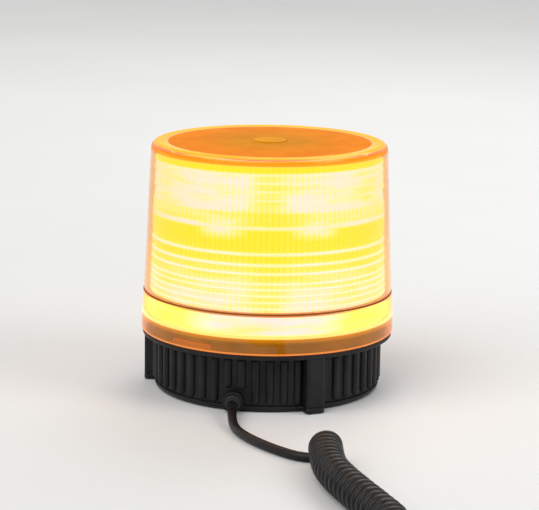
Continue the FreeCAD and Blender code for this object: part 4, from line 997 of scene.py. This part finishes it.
# Lenses
def outer_lens():
    """Lens outline, outside up and inside down, turned about the axis, with its bayonet tabs."""
    t = np.linspace(0.15, 1.0, 9)
    crown = np.stack([field_radius - (field_radius - top_boss_foot) * t,
                      field_edge + crown_rise * (1 - (1 - t) ** 2)], axis=1)
    crown_top = field_edge + crown_rise
    outside = [
        (lens_seam, lens_low), (lens_radius, lens_low, 0.7), (lens_radius, 31.6, 0.5),
        (62.3, 49.0, 0.25), (61.9, 49.6, 0.25),                         # skirt and step
        (58.75, wall_top, 0.5), (58.2, 122.5, 1.5),                     # wall and shoulder
        (55.6, 123.85, 1.0), (54.2, 123.75, 0.5), (field_radius, field_edge, 0.5),
        *crown,
        (top_boss_foot, crown_top, 0.1), (top_boss_radius, lens_top, 0.3), (0.0, lens_top)]
    inside_top = 121.0
    inside = [
        (0.0, inside_top + crown_rise), (drum_groove_inside, inside_top),
        (drum_groove_inside, 120.0, 0.2), (drum_groove_outside, 120.0, 0.2),
        (drum_groove_outside, inside_top), (56.4, inside_top, 0.3),
        (59.6, 49.7, 0.1), (60.35, 49.7), (lens_bore, collar_top),      # wall and ledge
        (lens_bore, lens_low, 0.3), (lens_seam, lens_low)]
    outline = np.concatenate([softened(outside, 6), softened(inside, 4)])
    skins = [spun(outline, lens_steps)]
    skins += [block_ring(tab_inside, tab_outside, tab_low, tab_high,
                         a - bayonet_half, a + bayonet_half) for a in bayonet_azimuths]
    piece("amber_cover", "lens", "amber_lens", skins, ["outer_lens"])


def crest(z):
    """Radius of the drum's prism edges at a height."""
    share = (drum_top - z) / (drum_top - drum_foot)
    return drum_top_radius + (drum_foot_radius - drum_top_radius) * share


def inner_lens():
    """Sawtooth prisms below and above a convex belt, turned about the axis, with a fluted bore."""
    steps = [(drum_skirt_radius, drum_skirt_low, 0.3),
             (drum_skirt_radius, 48.4, 0.2), (drum_skirt_radius, drum_foot, 0.2),
             (crest(drum_foot) - prism_depth, drum_foot)]
    for ring in rings_below:
        steps += [(crest(ring), ring, 0.18),
                  (crest(ring) - prism_depth, ring + prism_undercut, 0.1)]
    low, high = rings_below[-1], rings_above[0]
    for t in np.linspace(0.08, 0.92, 12):
        z = low + (high - low) * t
        steps.append((crest(z) - belt_bulge * (2 * t - 1) ** 2, z))
    for ring in rings_above:
        depth = belt_bulge if ring == high else prism_depth
        steps += [(crest(ring) - depth, ring, 0.1), (crest(ring), ring + prism_undercut, 0.18)]
    steps.append((crest(drum_top) - prism_depth, drum_top, 0.2))
    outside = softened([(drum_skirt_bore, drum_skirt_low)] + steps + [(drum_bore_top, drum_top)], 3)
    inside = np.array([(drum_bore_top, drum_top), (drum_bore_foot, drum_foot - drum_flange),
                       (drum_skirt_bore, drum_foot - drum_flange),
                       (drum_skirt_bore, drum_skirt_low)])
    turns = full_turn(2 * flute_count)
    wave = np.where(np.arange(len(turns)) % 2 == 0, 1.0, 1.0 - flute_depth / flute_radius)
    fluted = around_axis(inside, turns)
    fluted[:2, :, :2] *= wave[None, :, None]
    outer = around_axis(outside, turns)
    outer[-1] = fluted[0]
    piece("lens_drum", "lens", "lit_lens",
          [skin(outer, around=True), skin(fluted, around=True)], ["inner_lens"])


# Cord bush
def cable_grommet():
    """Bush with a flange, a nose with two grooves and a bore, turned about the cord's axis."""
    outline = softened((
        (cord_radius, -47.0), (4.0, -47.0, 0.3), (4.0, -47.6), (3.3, -47.7),        # back flange
        (3.3, boss_front), (4.0, boss_front, 0.3), (4.0, -59.1, 0.5),               # front flange
        (3.3, -59.3, 0.2), (3.2, -60.3, 0.1), (2.85, -60.5, 0.1), (2.85, -60.9, 0.1),
        (3.1, -61.1, 0.1), (2.95, -62.3, 0.3), (2.6, -62.6, 0.2), (cord_radius, -62.4)), 3)
    turns = full_turn(bush_steps)
    r = outline[:, 0][:, None]
    points = np.stack([exit_point[0] + r * np.cos(turns), rows_of(outline, 1, len(turns)),
                       exit_point[2] + r * np.sin(turns)], axis=-1)
    piece("cord_bush", "base", "black_rubber", [skin(points, around=True, along=True)],
          ["cable_grommet"])


for node, slot in slots.items():
    materials = frame["nodes"][node].data.materials
    materials.clear()
    materials.append(finishes[slot])

photo_camera()
floor()
studio()
cord(plug())
base_housing()
smoothed("bottom_plate", "base_plate", "base")
foot_screws()
outer_lens()
inner_lens()
cable_grommet()
